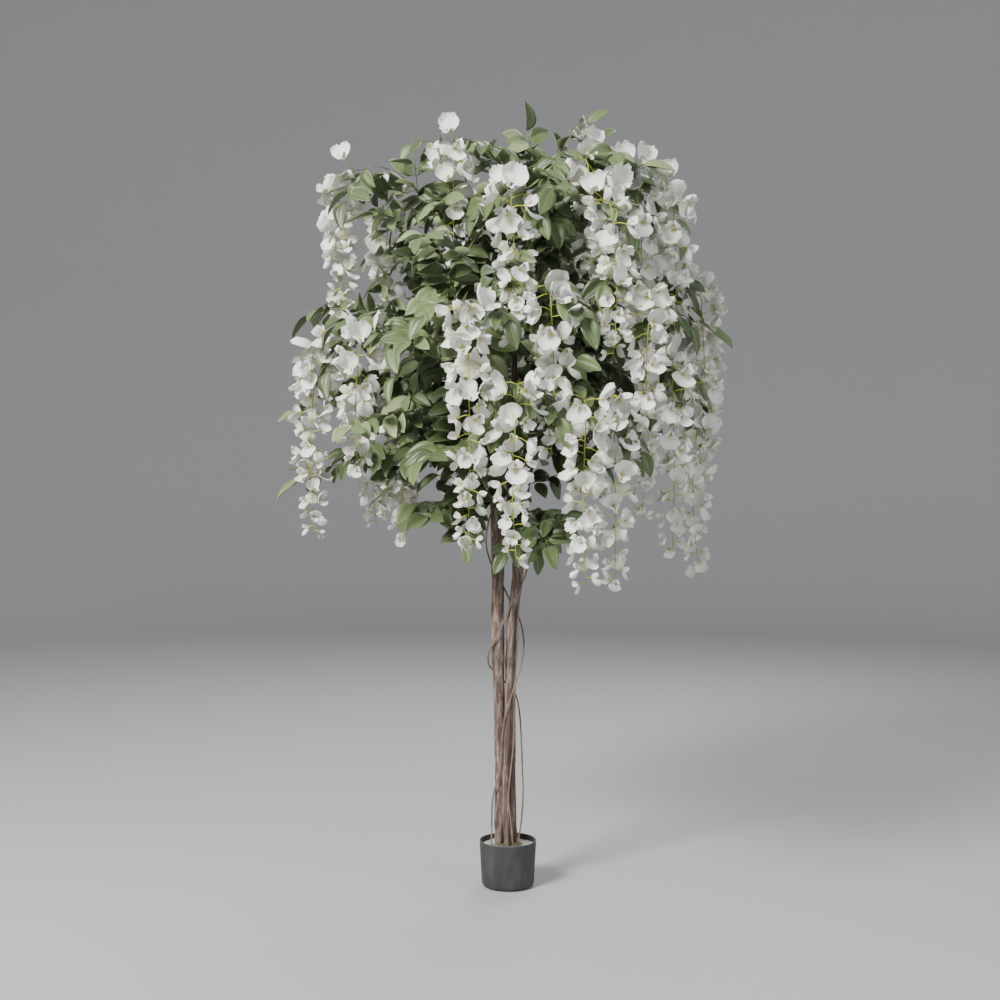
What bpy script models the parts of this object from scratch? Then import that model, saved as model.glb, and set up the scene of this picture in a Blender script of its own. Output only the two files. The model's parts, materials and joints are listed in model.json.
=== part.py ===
"""Potted white wisteria, trained as a small weeping tree.

Three trunks stand in the pot's fill and climb round each other, with three thin
vines wound about them. Above 0.8 m each trunk becomes a leader. Twigs arch out of
the leaders, each twig carries one hanging raceme at its end, and leafy stems
spread between them. Metres, +Z up; the origin is the centre of the pot's base, and
-Y is the side that faces the viewer.
"""

import math
import random
from collections import namedtuple

import bmesh
import bpy
from mathutils import Matrix, Vector
from mathutils.bvhtree import BVHTree
from mathutils.kdtree import KDTree

# Pot, its fill and the moss on it
POT_RADIUS = 0.065
POT_BASE_RADIUS = 0.060
POT_HEIGHT = 0.105
POT_WALL = 0.0035
POT_FOOT_ROUND = 0.011
POT_RIM_ROUND = 0.0012
POT_STEPS = 36
FILL_TOP = 0.093
FILL_SEGMENTS = 24
MOSS_RADIUS = 0.040
MOSS_HEIGHT = 0.007
GAP = 0.0003

# Stems stand in plain holes in the fill
TRUNK_FOOT = 0.050
VINE_FOOT = 0.072
HOLE_GAP = 0.0004
HOLE_SEGMENTS = 8

TRUNK_SIDES = 7
VINE_SIDES = 3
STALK_SIDES = 3
VINE_RADIUS = 0.0022
TWIG_ROOT = 0.0042
TWIG_TIP = 0.0017
STALK_ROOT = 0.0016
STALK_TIP = 0.0008
TWIGS_FROM = 0.86
TWIG_STEPS = 5
TWIG_SHORT = 0.026
STEM_ROOM = 0.012
LONGEST_STEP = 0.045
LEAD_IN = 0.004
VINE_ROOM = 0.0022
LEAF_STEM_ROOT = 0.0021
LEAF_STEM_TIP = 0.0009

# A trunk's centre line: x, y, z and radius
TRUNKS = {
    "trunk_left": [
        (-0.019, -0.002, TRUNK_FOOT, 0.0112), (-0.019, -0.002, 0.105, 0.0112),
        (-0.018, -0.003, 0.195, 0.0115), (-0.017, -0.004, 0.300, 0.0122),
        (-0.020, -0.004, 0.430, 0.0130), (-0.0235, -0.003, 0.600, 0.0138),
        (-0.0240, -0.003, 0.800, 0.0140), (-0.033, -0.006, 0.960, 0.0115),
        (-0.052, -0.012, 1.140, 0.0088), (-0.072, -0.022, 1.300, 0.0068),
        (-0.088, -0.030, 1.440, 0.0045),
    ],
    "trunk_right": [
        (0.010, 0.010, TRUNK_FOOT, 0.0110), (0.010, 0.010, 0.105, 0.0110),
        (0.0075, 0.010, 0.195, 0.0113), (0.0065, 0.009, 0.300, 0.0116),
        (0.0060, 0.006, 0.430, 0.0118), (0.0100, 0.004, 0.600, 0.0118),
        (0.0220, 0.001, 0.700, 0.0118), (0.031, -0.005, 0.820, 0.0115),
        (0.044, -0.018, 0.980, 0.0098), (0.058, -0.036, 1.160, 0.0082),
        (0.064, -0.046, 1.330, 0.0066), (0.052, -0.040, 1.480, 0.0050),
        (0.045, -0.034, 1.590, 0.0034),
    ],
    "trunk_back": [
        (-0.001, -0.0195, TRUNK_FOOT, 0.0080), (-0.001, -0.0195, 0.105, 0.0080),
        (-0.006, -0.0215, 0.195, 0.0080), (-0.004, -0.0215, 0.300, 0.0079),
        (0.001, -0.0205, 0.430, 0.0077), (0.008, -0.0185, 0.600, 0.0075),
        (0.017, -0.0215, 0.700, 0.0074), (0.017, -0.0240, 0.790, 0.0074),
        (0.005, -0.010, 0.880, 0.0075), (0.004, 0.022, 0.985, 0.0075),
        (0.012, 0.060, 1.110, 0.0071), (0.016, 0.090, 1.280, 0.0060),
        (0.008, 0.100, 1.450, 0.0042),
    ],
}

# A vine's centre line, from the fill up
VINES = {
    "vine_front": [
        (0.024, -0.006, VINE_FOOT), (0.024, -0.006, 0.104), (0.031, -0.004, 0.150),
        (0.035, -0.003, 0.210), (0.033, -0.002, 0.270), (0.030, 0.000, 0.350),
        (0.026, 0.014, 0.400), (0.016, 0.031, 0.435), (-0.008, 0.034, 0.462),
        (-0.030, 0.020, 0.485), (-0.044, 0.007, 0.505), (-0.044, -0.010, 0.532),
        (-0.027, -0.024, 0.568), (-0.006, -0.027, 0.612), (0.016, -0.025, 0.660),
        (0.036, -0.019, 0.700), (0.048, -0.006, 0.742), (0.050, 0.004, 0.790),
    ],
    "vine_left": [
        (-0.037, -0.010, VINE_FOOT), (-0.037, -0.010, 0.104), (-0.037, -0.006, 0.150),
        (-0.034, -0.014, 0.205), (-0.024, -0.024, 0.245), (-0.014, -0.028, 0.285),
        (-0.012, -0.027, 0.330), (-0.005, -0.031, 0.395), (0.012, -0.031, 0.450),
        (0.029, -0.016, 0.500), (0.037, 0.007, 0.550), (0.029, 0.025, 0.600),
        (0.005, 0.031, 0.650), (-0.020, 0.025, 0.700), (-0.041, 0.014, 0.742),
        (-0.050, -0.002, 0.785), (-0.044, -0.015, 0.830), (-0.032, -0.026, 0.870),
    ],
    "vine_right": [
        (0.011, -0.027, VINE_FOOT), (0.011, -0.027, 0.104), (0.007, -0.033, 0.150),
        (0.001, -0.0345, 0.205), (0.006, -0.0335, 0.265), (0.013, -0.027, 0.340),
        (0.0155, -0.018, 0.450), (0.0215, -0.0135, 0.550), (0.0235, -0.014, 0.620),
        (0.0275, -0.0155, 0.670), (0.030, -0.021, 0.702), (0.022, -0.0345, 0.738),
        (0.010, -0.037, 0.785), (0.003, -0.031, 0.835), (0.003, -0.026, 0.870),
    ],
}

# Where each raceme hangs: x and y of its stalk, height of its top, and its length
Raceme = namedtuple("Raceme", "x y top length")
RACEMES = [
    Raceme(-0.410, -0.100, 1.240, 0.46), Raceme(-0.367, -0.060, 1.620, 0.38),
    Raceme(-0.300, -0.270, 1.250, 0.34), Raceme(-0.300, 0.110, 1.120, 0.32),
    Raceme(-0.235, 0.045, 1.060, 0.29), Raceme(-0.081, -0.420, 1.270, 0.51),
    Raceme(0.005, -0.320, 1.510, 0.33), Raceme(0.017, -0.450, 1.110, 0.37),
    Raceme(0.082, -0.370, 1.315, 0.36), Raceme(0.148, -0.425, 1.085, 0.40),
    Raceme(0.205, -0.365, 1.100, 0.42), Raceme(0.165, -0.215, 1.620, 0.38),
    Raceme(0.205, -0.320, 1.500, 0.35), Raceme(0.280, -0.140, 1.600, 0.42),
    Raceme(0.350, -0.130, 1.570, 0.37), Raceme(0.428, -0.015, 1.370, 0.45),
    Raceme(0.335, -0.225, 1.200, 0.45), Raceme(0.410, -0.125, 1.145, 0.45),
    Raceme(0.285, -0.290, 1.330, 0.38), Raceme(0.425, 0.120, 1.300, 0.42),
    Raceme(-0.118, -0.150, 1.670, 0.28), Raceme(0.250, 0.175, 1.600, 0.38),
    Raceme(0.330, 0.300, 1.250, 0.44), Raceme(0.165, 0.280, 1.580, 0.38),
    Raceme(0.190, 0.420, 1.180, 0.40), Raceme(0.030, 0.445, 1.280, 0.44),
    Raceme(-0.030, 0.270, 1.600, 0.36), Raceme(-0.160, 0.395, 1.320, 0.44),
    Raceme(-0.300, 0.305, 1.230, 0.42), Raceme(-0.275, 0.120, 1.600, 0.44),
]

# Leafy stems: the leader that each leaves, at what height, and where its tip reaches
LeafyStem = namedtuple("LeafyStem", "leader start tip")
LEAFY_STEMS = [
    LeafyStem("trunk_right", 1.590, (0.043, -0.030, 1.712)),
    LeafyStem("trunk_left", 1.390, (-0.150, -0.190, 1.525)),
    LeafyStem("trunk_left", 1.300, (-0.290, -0.140, 1.505)),
    LeafyStem("trunk_left", 1.220, (-0.180, -0.330, 1.420)),
    LeafyStem("trunk_left", 1.120, (-0.200, -0.370, 1.200)),
    LeafyStem("trunk_left", 1.030, (-0.330, -0.330, 1.030)),
    LeafyStem("trunk_left", 0.960, (-0.170, -0.370, 0.960)),
    LeafyStem("trunk_left", 0.880, (-0.175, -0.170, 0.845)),
    LeafyStem("trunk_left", 1.100, (-0.480, 0.000, 1.085)),
    LeafyStem("trunk_left", 0.940, (-0.465, -0.030, 0.930)),
    LeafyStem("trunk_left", 1.190, (-0.445, 0.020, 1.310)),
    LeafyStem("trunk_right", 0.880, (0.085, -0.210, 0.785)),
    LeafyStem("trunk_right", 1.040, (-0.030, -0.370, 1.010)),
    LeafyStem("trunk_right", 1.380, (0.090, -0.290, 1.500)),
    LeafyStem("trunk_right", 0.980, (0.260, -0.230, 0.970)),
    LeafyStem("trunk_right", 1.200, (0.450, -0.070, 1.270)),
    LeafyStem("trunk_back", 1.080, (0.330, 0.180, 1.080)),
    LeafyStem("trunk_back", 1.240, (0.100, 0.370, 1.440)),
    LeafyStem("trunk_back", 0.960, (-0.100, 0.360, 0.960)),
    LeafyStem("trunk_back", 1.400, (0.230, 0.230, 1.620)),
    LeafyStem("trunk_left", 1.270, (-0.320, 0.210, 1.480)),
]

# Florets and leaves. Both are larger and fewer than on the plant, at the same reach.
FLORET_SPACING = 0.066
FLORET_WIDTH = 0.072
FLORET_HEIGHT = 0.058
FLORET_DEPTH = 0.013
FLORET_THICK = 0.0022
TIP_SHARE = 0.50
PEDICEL_LENGTH = 0.026
LEAF_SPACING = 0.056
LEAF_LENGTH = 0.088
LEAF_WIDTH = 0.042
LEAF_THICK = 0.0011
LEAF_FOLD = 0.20
PETIOLE = 0.008
LEAVES_FROM = 0.30
LAST_PAIR = 0.034
ROOM = 0.004
OFF_STEM = 0.007
BLADE_ROOM = 0.006
SEED = 11

DOWN = Vector((0, 0, -1))
UP = Vector((0, 0, 1))


def smooth_route(points, steps):
    """A smooth curve through points of any number of values, as tuples, with steps to a span."""
    rows = [Vector(p) for p in points]
    ends = [2 * rows[0] - rows[1], *rows, 2 * rows[-1] - rows[-2]]
    route = []
    for a, b, c, d in zip(ends, ends[1:], ends[2:], ends[3:]):
        for step in range(steps):
            t = step / steps
            route.append(0.5 * (2 * b + (c - a) * t + (2 * a - 5 * b + 4 * c - d) * t**2
                                + (3 * b - a - 3 * c + d) * t**3))
    return [*route, rows[-1]]


def bezier(a, b, c, d, steps):
    """Points along a cubic curve from a to d."""
    made = []
    for step in range(steps + 1):
        t = step / steps
        u = 1 - t
        made.append(u**3 * a + 3 * u * u * t * b + 3 * u * t * t * c + t**3 * d)
    return made


def at_height(name, z):
    """Centre and radius of a trunk at height z."""
    rows = smooth_route(TRUNKS[name], 3)
    for low, high in zip(rows, rows[1:]):
        if low[2] <= z <= high[2]:
            share = (z - low[2]) / (high[2] - low[2])
            row = Vector(low).lerp(Vector(high), share)
            return Vector(row[:3]), row[3]
    return Vector(rows[-1][:3]), rows[-1][3]


def leader_of(x, y):
    """The trunk whose third of the crown holds this place, seen from above."""
    turn = math.degrees(math.atan2(y, x)) % 360
    if turn < 118:
        return "trunk_back"
    return "trunk_left" if turn < 262 else "trunk_right"


def twig_starts():
    """Where each twig leaves its leader: the higher its raceme hangs, the higher up the leader."""
    starts = {}
    for name, rows in TRUNKS.items():
        own = sorted((r for r in RACEMES if leader_of(r.x, r.y) == name), key=lambda r: (r.top, r.x))
        top = rows[-1][2] - 0.03
        for rank, raceme in enumerate(own):
            starts[raceme] = TWIGS_FROM + (top - TWIGS_FROM) * rank / (len(own) - 1)
    return starts


def twig_route(raceme):
    """A twig from its leader, up and over to where the raceme hangs."""
    name = leader_of(raceme.x, raceme.y)
    start, _ = at_height(name, twig_starts()[raceme])
    out = Vector((raceme.x - start.x, raceme.y - start.y, 0))
    reach = out.length - TWIG_SHORT
    out.normalize()
    top = Vector((raceme.x, raceme.y, raceme.top)) - out * TWIG_SHORT
    rise = max(top.z - start.z, 0.05)
    lift = start + out * reach * 0.35 + UP * (rise * 0.75 + 0.02)
    over = top - out * min(0.10, reach * 0.35) + UP * 0.045
    return name, bezier(start, lift, over, top, TWIG_STEPS)


def raceme_route(raceme, steps=24):
    """The hanging stalk: it leaves the twig's end, bends down under its weight and sways a little."""
    _, twig = twig_route(raceme)
    way = (twig[-1] - twig[-2]).normalized()
    sway = Vector((math.sin(raceme.x * 31 + raceme.y * 17), math.cos(raceme.x * 23 - raceme.y * 29), 0))
    step = raceme.length / steps
    point = twig[-1] + way * (2 * GAP)
    route = [point.copy()]
    for k in range(1, steps + 1):
        s = k / steps
        bend = min(1.0, (k - 1) / steps * raceme.length / 0.05)
        heading = way.lerp(DOWN, bend) + sway * 0.10 * bend * math.sin(s * math.pi * 1.6)
        point = point + heading.normalized() * step
        route.append(point.copy())
    return route


def leafy_route(stem, start_z, bow, steps=14):
    """A leafy stem from its leader, bowed upwards on its way to the tip."""
    centre, radius = at_height(stem.leader, start_z)
    tip = Vector(stem.tip)
    way = (tip - centre).normalized()
    if start_z >= TRUNKS[stem.leader][-1][2]:
        start = centre + way * (2 * GAP)
    else:
        way = Vector((way.x, way.y, 0)).normalized()
        start = centre + way * (radius + 2 * GAP)
    foot = start
    start = start + way * LEAD_IN
    span = (tip - start).length
    lift = start + way * span * 0.35 + UP * span * bow
    over = tip - way * span * 0.30 + UP * span * bow
    return [foot, *bezier(start, lift, over, tip, steps)]


def bent_clear(stem, taken):
    """The first route from the leader to the stem's tip, of several starts and bows, that keeps clear."""
    top = TRUNKS[stem.leader][-1][2]
    if stem.start >= top:
        return leafy_route(stem, stem.start, 0.0)
    best = None
    for bow in (0.13, 0.06, 0.20, 0.0, 0.27):
        for shift in (0.0, 0.012, -0.012, 0.024, -0.024, 0.040, -0.040):
            route = leafy_route(stem, min(stem.start + shift, top - 0.01), bow)
            room = min(taken.find(point)[2] for point in even(route, 60))
            if room > STEM_ROOM:
                return route
            if best is None or room > best[0]:
                best = (room, route)
    return best[1]


def even(route, count):
    """count + 1 points evenly spaced along a route."""
    lengths = [0.0]
    for a, b in zip(route, route[1:]):
        lengths.append(lengths[-1] + (b - a).length)
    return [along(route, lengths, lengths[-1] * k / count) for k in range(count + 1)]


def along(route, lengths, reach):
    """The point at this reach along a route."""
    for k in range(1, len(route)):
        if lengths[k] >= reach:
            share = (reach - lengths[k - 1]) / (lengths[k] - lengths[k - 1])
            return route[k - 1].lerp(route[k], share)
    return route[-1].copy()


class Rooms:
    """Who is nearest to a point. Each stem keeps its florets and leaves to the room nearest to itself."""

    def __init__(self, stems):
        samples = []
        for name, route in stems:
            length = sum((b - a).length for a, b in zip(route, route[1:]))
            for point in even(route, max(2, round(length / 0.006))):
                samples.append((point, name))
        self.tree = KDTree(len(samples))
        self.names = [name for _, name in samples]
        for index, (point, _) in enumerate(samples):
            self.tree.insert(point, index)
        self.tree.balance()

    def holds(self, name, points, off=OFF_STEM):
        for point in points:
            _, index, distance = self.tree.find(point)
            if self.names[index] != name or distance < off:
                return False
        return True


def tree_of(routes):
    """A look-up of the nearest point on these routes."""
    points = []
    for route in routes:
        length = sum((b - a).length for a, b in zip(route, route[1:]))
        points += even(route, max(2, round(length / 0.005)))
    tree = KDTree(len(points))
    for index, point in enumerate(points):
        tree.insert(point, index)
    tree.balance()
    return tree


def all_stems():
    """Every stem in the crown with its node's name."""
    stems = []
    for name, rows in TRUNKS.items():
        stems.append((name, [Vector(row[:3]) for row in rows]))
    for number, raceme in enumerate(RACEMES, 1):
        leader, twig = twig_route(raceme)
        stems.append((leader, twig))
        stems.append((raceme_name(number), raceme_route(raceme)))
    for number, stem in enumerate(LEAFY_STEMS, 1):
        taken = [route for name, route in stems if name != stem.leader or route[0].z > 0.2]
        stems.append((leafy_name(number), bent_clear(stem, tree_of(taken))))
    return stems


def raceme_name(number):
    return f"raceme_{number:02d}"


def leafy_name(number):
    return f"leafy_stem_{number:02d}"


def basis(out, up_hint):
    """Side, up and out axes of a right-handed set with this out."""
    side = up_hint.cross(out)
    if side.length < 1e-6:
        side = Vector((1, 0, 0)).cross(out)
    side.normalize()
    return side, out.cross(side).normalized(), out.normalized()


Floret = namedtuple("Floret", "reach out centre face side up size")
Leaf = namedtuple("Leaf", "reach out base way side up length width")


def floret_at(point, reach, turn, size, pedicel):
    """A floret on its pedicel: out and down from the stalk, with its cup facing out and down."""
    out = Vector((math.cos(turn), math.sin(turn), 0))
    way = (out * 0.86 + DOWN * 0.50).normalized()
    centre = point + way * pedicel
    face = (out * 0.80 + DOWN * 0.60).normalized()
    side, up, _ = basis(face, UP)
    return Floret(reach, out, centre, face, side, up, size)


def floret_rim(floret):
    """The rim of the cup: right, top, left and bottom, seen from outside."""
    half_w, half_h = FLORET_WIDTH / 2 * floret.size, FLORET_HEIGHT / 2 * floret.size
    depth = FLORET_DEPTH * floret.size
    mid = floret.centre + floret.face * depth
    return [
        mid + floret.side * half_w + floret.up * half_h * 0.15,
        mid + floret.up * half_h - floret.face * depth * 0.5,
        mid - floret.side * half_w + floret.up * half_h * 0.15,
        mid - floret.up * half_h + floret.face * depth * 0.3,
    ]


def place_florets(name, route, rooms, draw):
    """Florets in pairs down the stalk, turned a quarter from pair to pair and smaller to the tip."""
    length = sum((b - a).length for a, b in zip(route, route[1:]))
    count = max(4, round(length / FLORET_SPACING))
    first = draw.uniform(0, math.pi)
    placed = []
    lengths = [0.0]
    for a, b in zip(route, route[1:]):
        lengths.append(lengths[-1] + (b - a).length)
    for k in range(count):
        share = (k + 0.35) / count
        reach = share * length
        point = along(route, lengths, reach)
        size = 1 - (1 - TIP_SHARE) * share**1.5
        pedicel = PEDICEL_LENGTH * (1 - 0.55 * share)
        sides = (0, math.pi) if k < count - 2 else (0,)
        for half in sides:
            turn = first + k * math.radians(77) + half
            found = first_clear(name, rooms, [
                floret_at(point, reach, turn + math.radians(shift), size * shrink, pedicel * shrink)
                for shrink in (1.0, 0.88, 0.74) for shift in (0, 24, -24)], floret_reach, placed)
            if found:
                placed.append(found)
    return placed


def floret_reach(floret):
    """Points that the floret reaches, a little past its rim."""
    rim = floret_rim(floret)
    edge = rim + [(a + b) / 2 for a, b in zip(rim, rim[1:] + rim[:1])]
    return [p + (p - floret.centre).normalized() * ROOM for p in edge] + [floret.centre]


def leaf_at(point, reach, stem_way, side_sign, roll, length):
    """A leaf on its petiole, forward and to one side of the stem, with its face up."""
    side, up, ahead = basis(stem_way, UP)
    out = side * side_sign
    if roll:
        out = Matrix.Rotation(roll, 3, ahead) @ out
    way = (out * 0.86 + ahead * 0.44 + DOWN * 0.16).normalized()
    leaf_side = up.cross(way).normalized()
    leaf_up = way.cross(leaf_side).normalized()
    if leaf_up.z < 0:
        leaf_side, leaf_up = -leaf_side, -leaf_up
    width = LEAF_WIDTH * length / LEAF_LENGTH
    return Leaf(reach, out, point + way * PETIOLE, way, leaf_side, leaf_up, length, width)


def end_leaf(point, reach, way, length):
    side, up, ahead = basis(way, UP)
    return Leaf(reach, ahead, point + ahead * 0.002, ahead, side, up, length, LEAF_WIDTH * length / LEAF_LENGTH)


def leaf_rings(leaf):
    """Sections of the leaf: right edge, rib on top, left edge and rib beneath, and then its tip."""
    rings = []
    for share, wide, drop in ((0.36, 1.0, 0.02), (0.72, 0.72, -0.05)):
        half = leaf.width / 2 * wide
        mid = leaf.base + leaf.way * leaf.length * share + leaf.up * leaf.length * drop
        raised = leaf.up * half * LEAF_FOLD * 2
        thick = leaf.up * LEAF_THICK / 2
        right, left = (mid + leaf.side * sign * half + raised for sign in (1, -1))
        rings.append([right, mid + thick, left, mid - thick])
    return rings, leaf.base + leaf.way * leaf.length - leaf.up * leaf.length * 0.16


def leaf_reach(leaf):
    rings, tip = leaf_rings(leaf)
    points = [p for ring in rings for p in (ring[0], ring[2])]
    edge = [*points, tip, (points[2] + tip) / 2, (points[3] + tip) / 2]
    middle = [leaf.base + leaf.way * leaf.length * share for share in (0.25, 0.5, 0.75)]
    return [p + (p - leaf.base).normalized() * ROOM for p in edge] + middle


def place_leaves(name, route, rooms, draw):
    """Leaves in pairs along the stem, one on each side of it, and the leaf at its end."""
    lengths = [0.0]
    for a, b in zip(route, route[1:]):
        lengths.append(lengths[-1] + (b - a).length)
    length = lengths[-1]
    count = max(2, round(length * (1 - LEAVES_FROM) / LEAF_SPACING))
    placed = [end_leaf(route[-1], length, (route[-1] - route[-2]).normalized(), LEAF_LENGTH)]
    for k in range(count):
        reach = length * LEAVES_FROM + (length * (1 - LEAVES_FROM) - LAST_PAIR) * k / (count - 1)
        point = along(route, lengths, reach)
        way = (along(route, lengths, reach + 0.004) - along(route, lengths, reach - 0.004)).normalized()
        for sign in (1, -1):
            size = LEAF_LENGTH * draw.uniform(0.86, 1.06)
            found = first_clear(name, rooms, [
                leaf_at(point, reach, way, sign, math.radians(roll), size * shrink)
                for shrink in (1.0, 0.86, 0.72) for roll in (0, 26, -26)], leaf_reach, placed)
            if found:
                placed.append(found)
    return placed[1:], placed[0]


def first_clear(name, rooms, tries, reach_of, placed):
    """The first of these blades that keeps to its stem's room and off the blades already there."""
    for one in tries:
        points = reach_of(one)
        if rooms.holds(name, points) and all(
                (a - b).length > BLADE_ROOM for other in placed for a in reach_of(other) for b in points):
            return one
    return None


# Solids grow by extrusion: a tube from its first ring, and each side shoot from a face of what carries it


def ring_frames(route, radii):
    """A matrix for each ring of a tube, turned as little as possible from one to the next."""
    frames = []
    side = None
    for k, (point, radius) in enumerate(zip(route, radii)):
        way = (route[min(k + 1, len(route) - 1)] - route[max(k - 1, 0)]).normalized()
        if side is None:
            side = way.orthogonal().normalized()
        side = (side - way * side.dot(way)).normalized()
        other = way.cross(side)
        rows = Matrix((side * radius, other * radius, way)).transposed().to_4x4()
        rows.translation = point
        frames.append(rows)
    return frames


def tube(bm, route, radii, sides):
    """A closed tube with flat ends, and the side faces of each of its segments."""
    frames = ring_frames(route, radii)
    made = bmesh.ops.create_cone(bm, cap_ends=True, segments=sides, radius1=1, radius2=1, depth=2)
    for vert in made["verts"]:
        frame = frames[1] if vert.co.z > 0 else frames[0]
        vert.co = frame @ Vector((vert.co.x, vert.co.y, 0))
    way = (route[1] - route[0]).normalized()
    faces = {face for vert in made["verts"] for face in vert.link_faces}
    for face in faces:
        face.normal_update()
    cap = max(faces, key=lambda face: face.normal.dot(way) * (len(face.verts) == sides))
    segments = [[face for face in faces if abs(face.normal.dot(way)) < 0.7]]
    for low, high in zip(frames[1:], frames[2:]):
        cap, walls = extrude(bm, cap)
        bmesh.ops.transform(bm, matrix=high @ low.inverted(), verts=cap.verts)
        segments.append(walls)
    return segments, cap


def extrude(bm, face):
    """The face moved on to a new ring, and the walls that follow it."""
    cap = bmesh.ops.extrude_discrete_faces(bm, faces=[face])["faces"][0]
    walls = [f for edge in cap.edges for f in edge.link_faces if f is not cap]
    return cap, walls


def grow(bm, face, rings, tip=None, hollow=None):
    """A side shoot from one four-sided face through rings of four points, to a tip or a hollowed end.

    A ring runs right, top, left, bottom. Its walls are split from top and bottom to right and left
    alike, so that the two faces of a thin blade never cross.
    """
    verts = list(face.verts)
    across, through = (rings[0][0] - rings[0][2]).normalized(), (rings[0][1] - rings[0][3]).normalized()
    best = max(range(4), key=lambda shift: (
        (verts[(1 + shift) % 4].co - verts[(3 + shift) % 4].co).dot(through)
        + 0.3 * (verts[shift].co - verts[(2 + shift) % 4].co).dot(across)))
    before = [verts[(k + best) % 4] for k in range(4)]
    for ring in rings:
        face, walls = extrude(bm, face)
        verts = list(face.verts)
        corners = [verts[(k + best) % 4] for k in range(4)]
        for corner, point in zip(corners, ring):
            corner.co = point
        for wall in walls:
            rib = next(before[k] for k in (1, 3) if before[k] in wall.verts)
            edge = next(corners[k] for k in (0, 2) if corners[k] in wall.verts)
            bmesh.utils.face_split(wall, rib, edge)
        before = corners
    if tip is not None:
        bmesh.ops.pointmerge(bm, verts=list(face.verts), merge_co=tip)
    elif hollow is not None:
        made = bmesh.ops.poke(bm, faces=[face])
        made["verts"][0].co = hollow


def square(frame_point, side, up, radius):
    """Four points round a centre: right, top, left and bottom."""
    return [frame_point + side * radius, frame_point + up * radius,
            frame_point - side * radius, frame_point - up * radius]


def facing(walls, out, used):
    """The free wall that faces most nearly this way."""
    free = [wall for wall in walls if wall not in used]
    for wall in free:
        wall.normal_update()
    best = max(free, key=lambda wall: wall.normal.dot(out))
    used.add(best)
    return best


def node_route(route, reaches, half):
    """A route with a short segment at each reach, for shoots to grow from, and each such segment's index."""
    lengths = [0.0]
    for a, b in zip(route, route[1:]):
        lengths.append(lengths[-1] + (b - a).length)
    stations = [0.0, LEAD_IN]
    marks = []
    for reach in reaches:
        low = max(reach - half, stations[-1] + half)
        spare = math.floor((low - stations[-1]) / LONGEST_STEP)
        first = stations[-1]
        stations += [first + (low - first) * k / (spare + 1) for k in range(1, spare + 1)]
        stations.append(low)
        marks.append(len(stations) - 1)
        stations.append(low + 2 * half)
    if lengths[-1] - stations[-1] > half:
        stations.append(lengths[-1])
    return [along(route, lengths, s) for s in stations], marks, [s / lengths[-1] for s in stations]


def finish(bm, name, material, collection):
    """The mesh as an object of its own, triangulated so that thin blades keep their folds."""
    bmesh.ops.triangulate(bm, faces=bm.faces)
    mesh = bpy.data.meshes.new(name)
    bm.to_mesh(mesh)
    bm.free()
    made = bpy.data.objects.new(name, mesh)
    made.data.materials.append(material)
    collection.objects.link(made)
    return made


def build_raceme(number, raceme, rooms, material, collection):
    name = raceme_name(number)
    draw = random.Random(SEED * 100 + number)
    route = raceme_route(raceme)
    florets = place_florets(name, route, rooms, draw)
    reaches = sorted({floret.reach for floret in florets})
    points, marks, shares = node_route(route, reaches, 0.0022)
    bm = bmesh.new()
    radii = [STALK_ROOT + (STALK_TIP - STALK_ROOT) * share for share in shares]
    segments, _ = tube(bm, points, radii, STALK_SIDES)
    used = set()
    for floret in florets:
        walls = segments[marks[reaches.index(floret.reach)]]
        wall = facing(walls, floret.out, used)
        neck = square(floret.centre, floret.side, floret.up, 0.0016)
        cup = floret.centre + floret.face * FLORET_THICK
        grow(bm, wall, [neck, floret_rim(floret)], hollow=cup)
    return finish(bm, name, material, collection)


def seated(route, skin):
    """The route with its foot moved to lie GAP off the leader's surface."""
    way = (route[1] - route[0]).normalized()
    side, up, _ = basis(way, UP)
    inside = route[0] - way * 0.004
    turns = [math.tau * k / 8 for k in range(8)]
    corners = [(side * math.cos(turn) + up * math.sin(turn)) * LEAF_STEM_ROOT for turn in turns]
    hits = [skin.ray_cast(inside + corner, way, 0.02)[3] for corner in corners]
    return [inside + way * (max(hits) + GAP), *route[1:]]


def build_leafy_stem(number, route, rooms, material, collection):
    name = leafy_name(number)
    draw = random.Random(SEED * 1000 + number)
    leaves, last = place_leaves(name, route, rooms, draw)
    reaches = sorted({leaf.reach for leaf in leaves})
    points, marks, shares = node_route(route, reaches, 0.0018)
    bm = bmesh.new()
    radii = [LEAF_STEM_ROOT + (LEAF_STEM_TIP - LEAF_STEM_ROOT) * share for share in shares]
    segments, cap = tube(bm, points, radii, 4)
    used = set()
    for leaf in leaves:
        wall = facing(segments[marks[reaches.index(leaf.reach)]], leaf.out, used)
        rings, tip = leaf_rings(leaf)
        grow(bm, wall, rings, tip=tip)
    rings, tip = leaf_rings(last)
    grow(bm, cap, rings, tip=tip)
    return finish(bm, name, material, collection)


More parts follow.
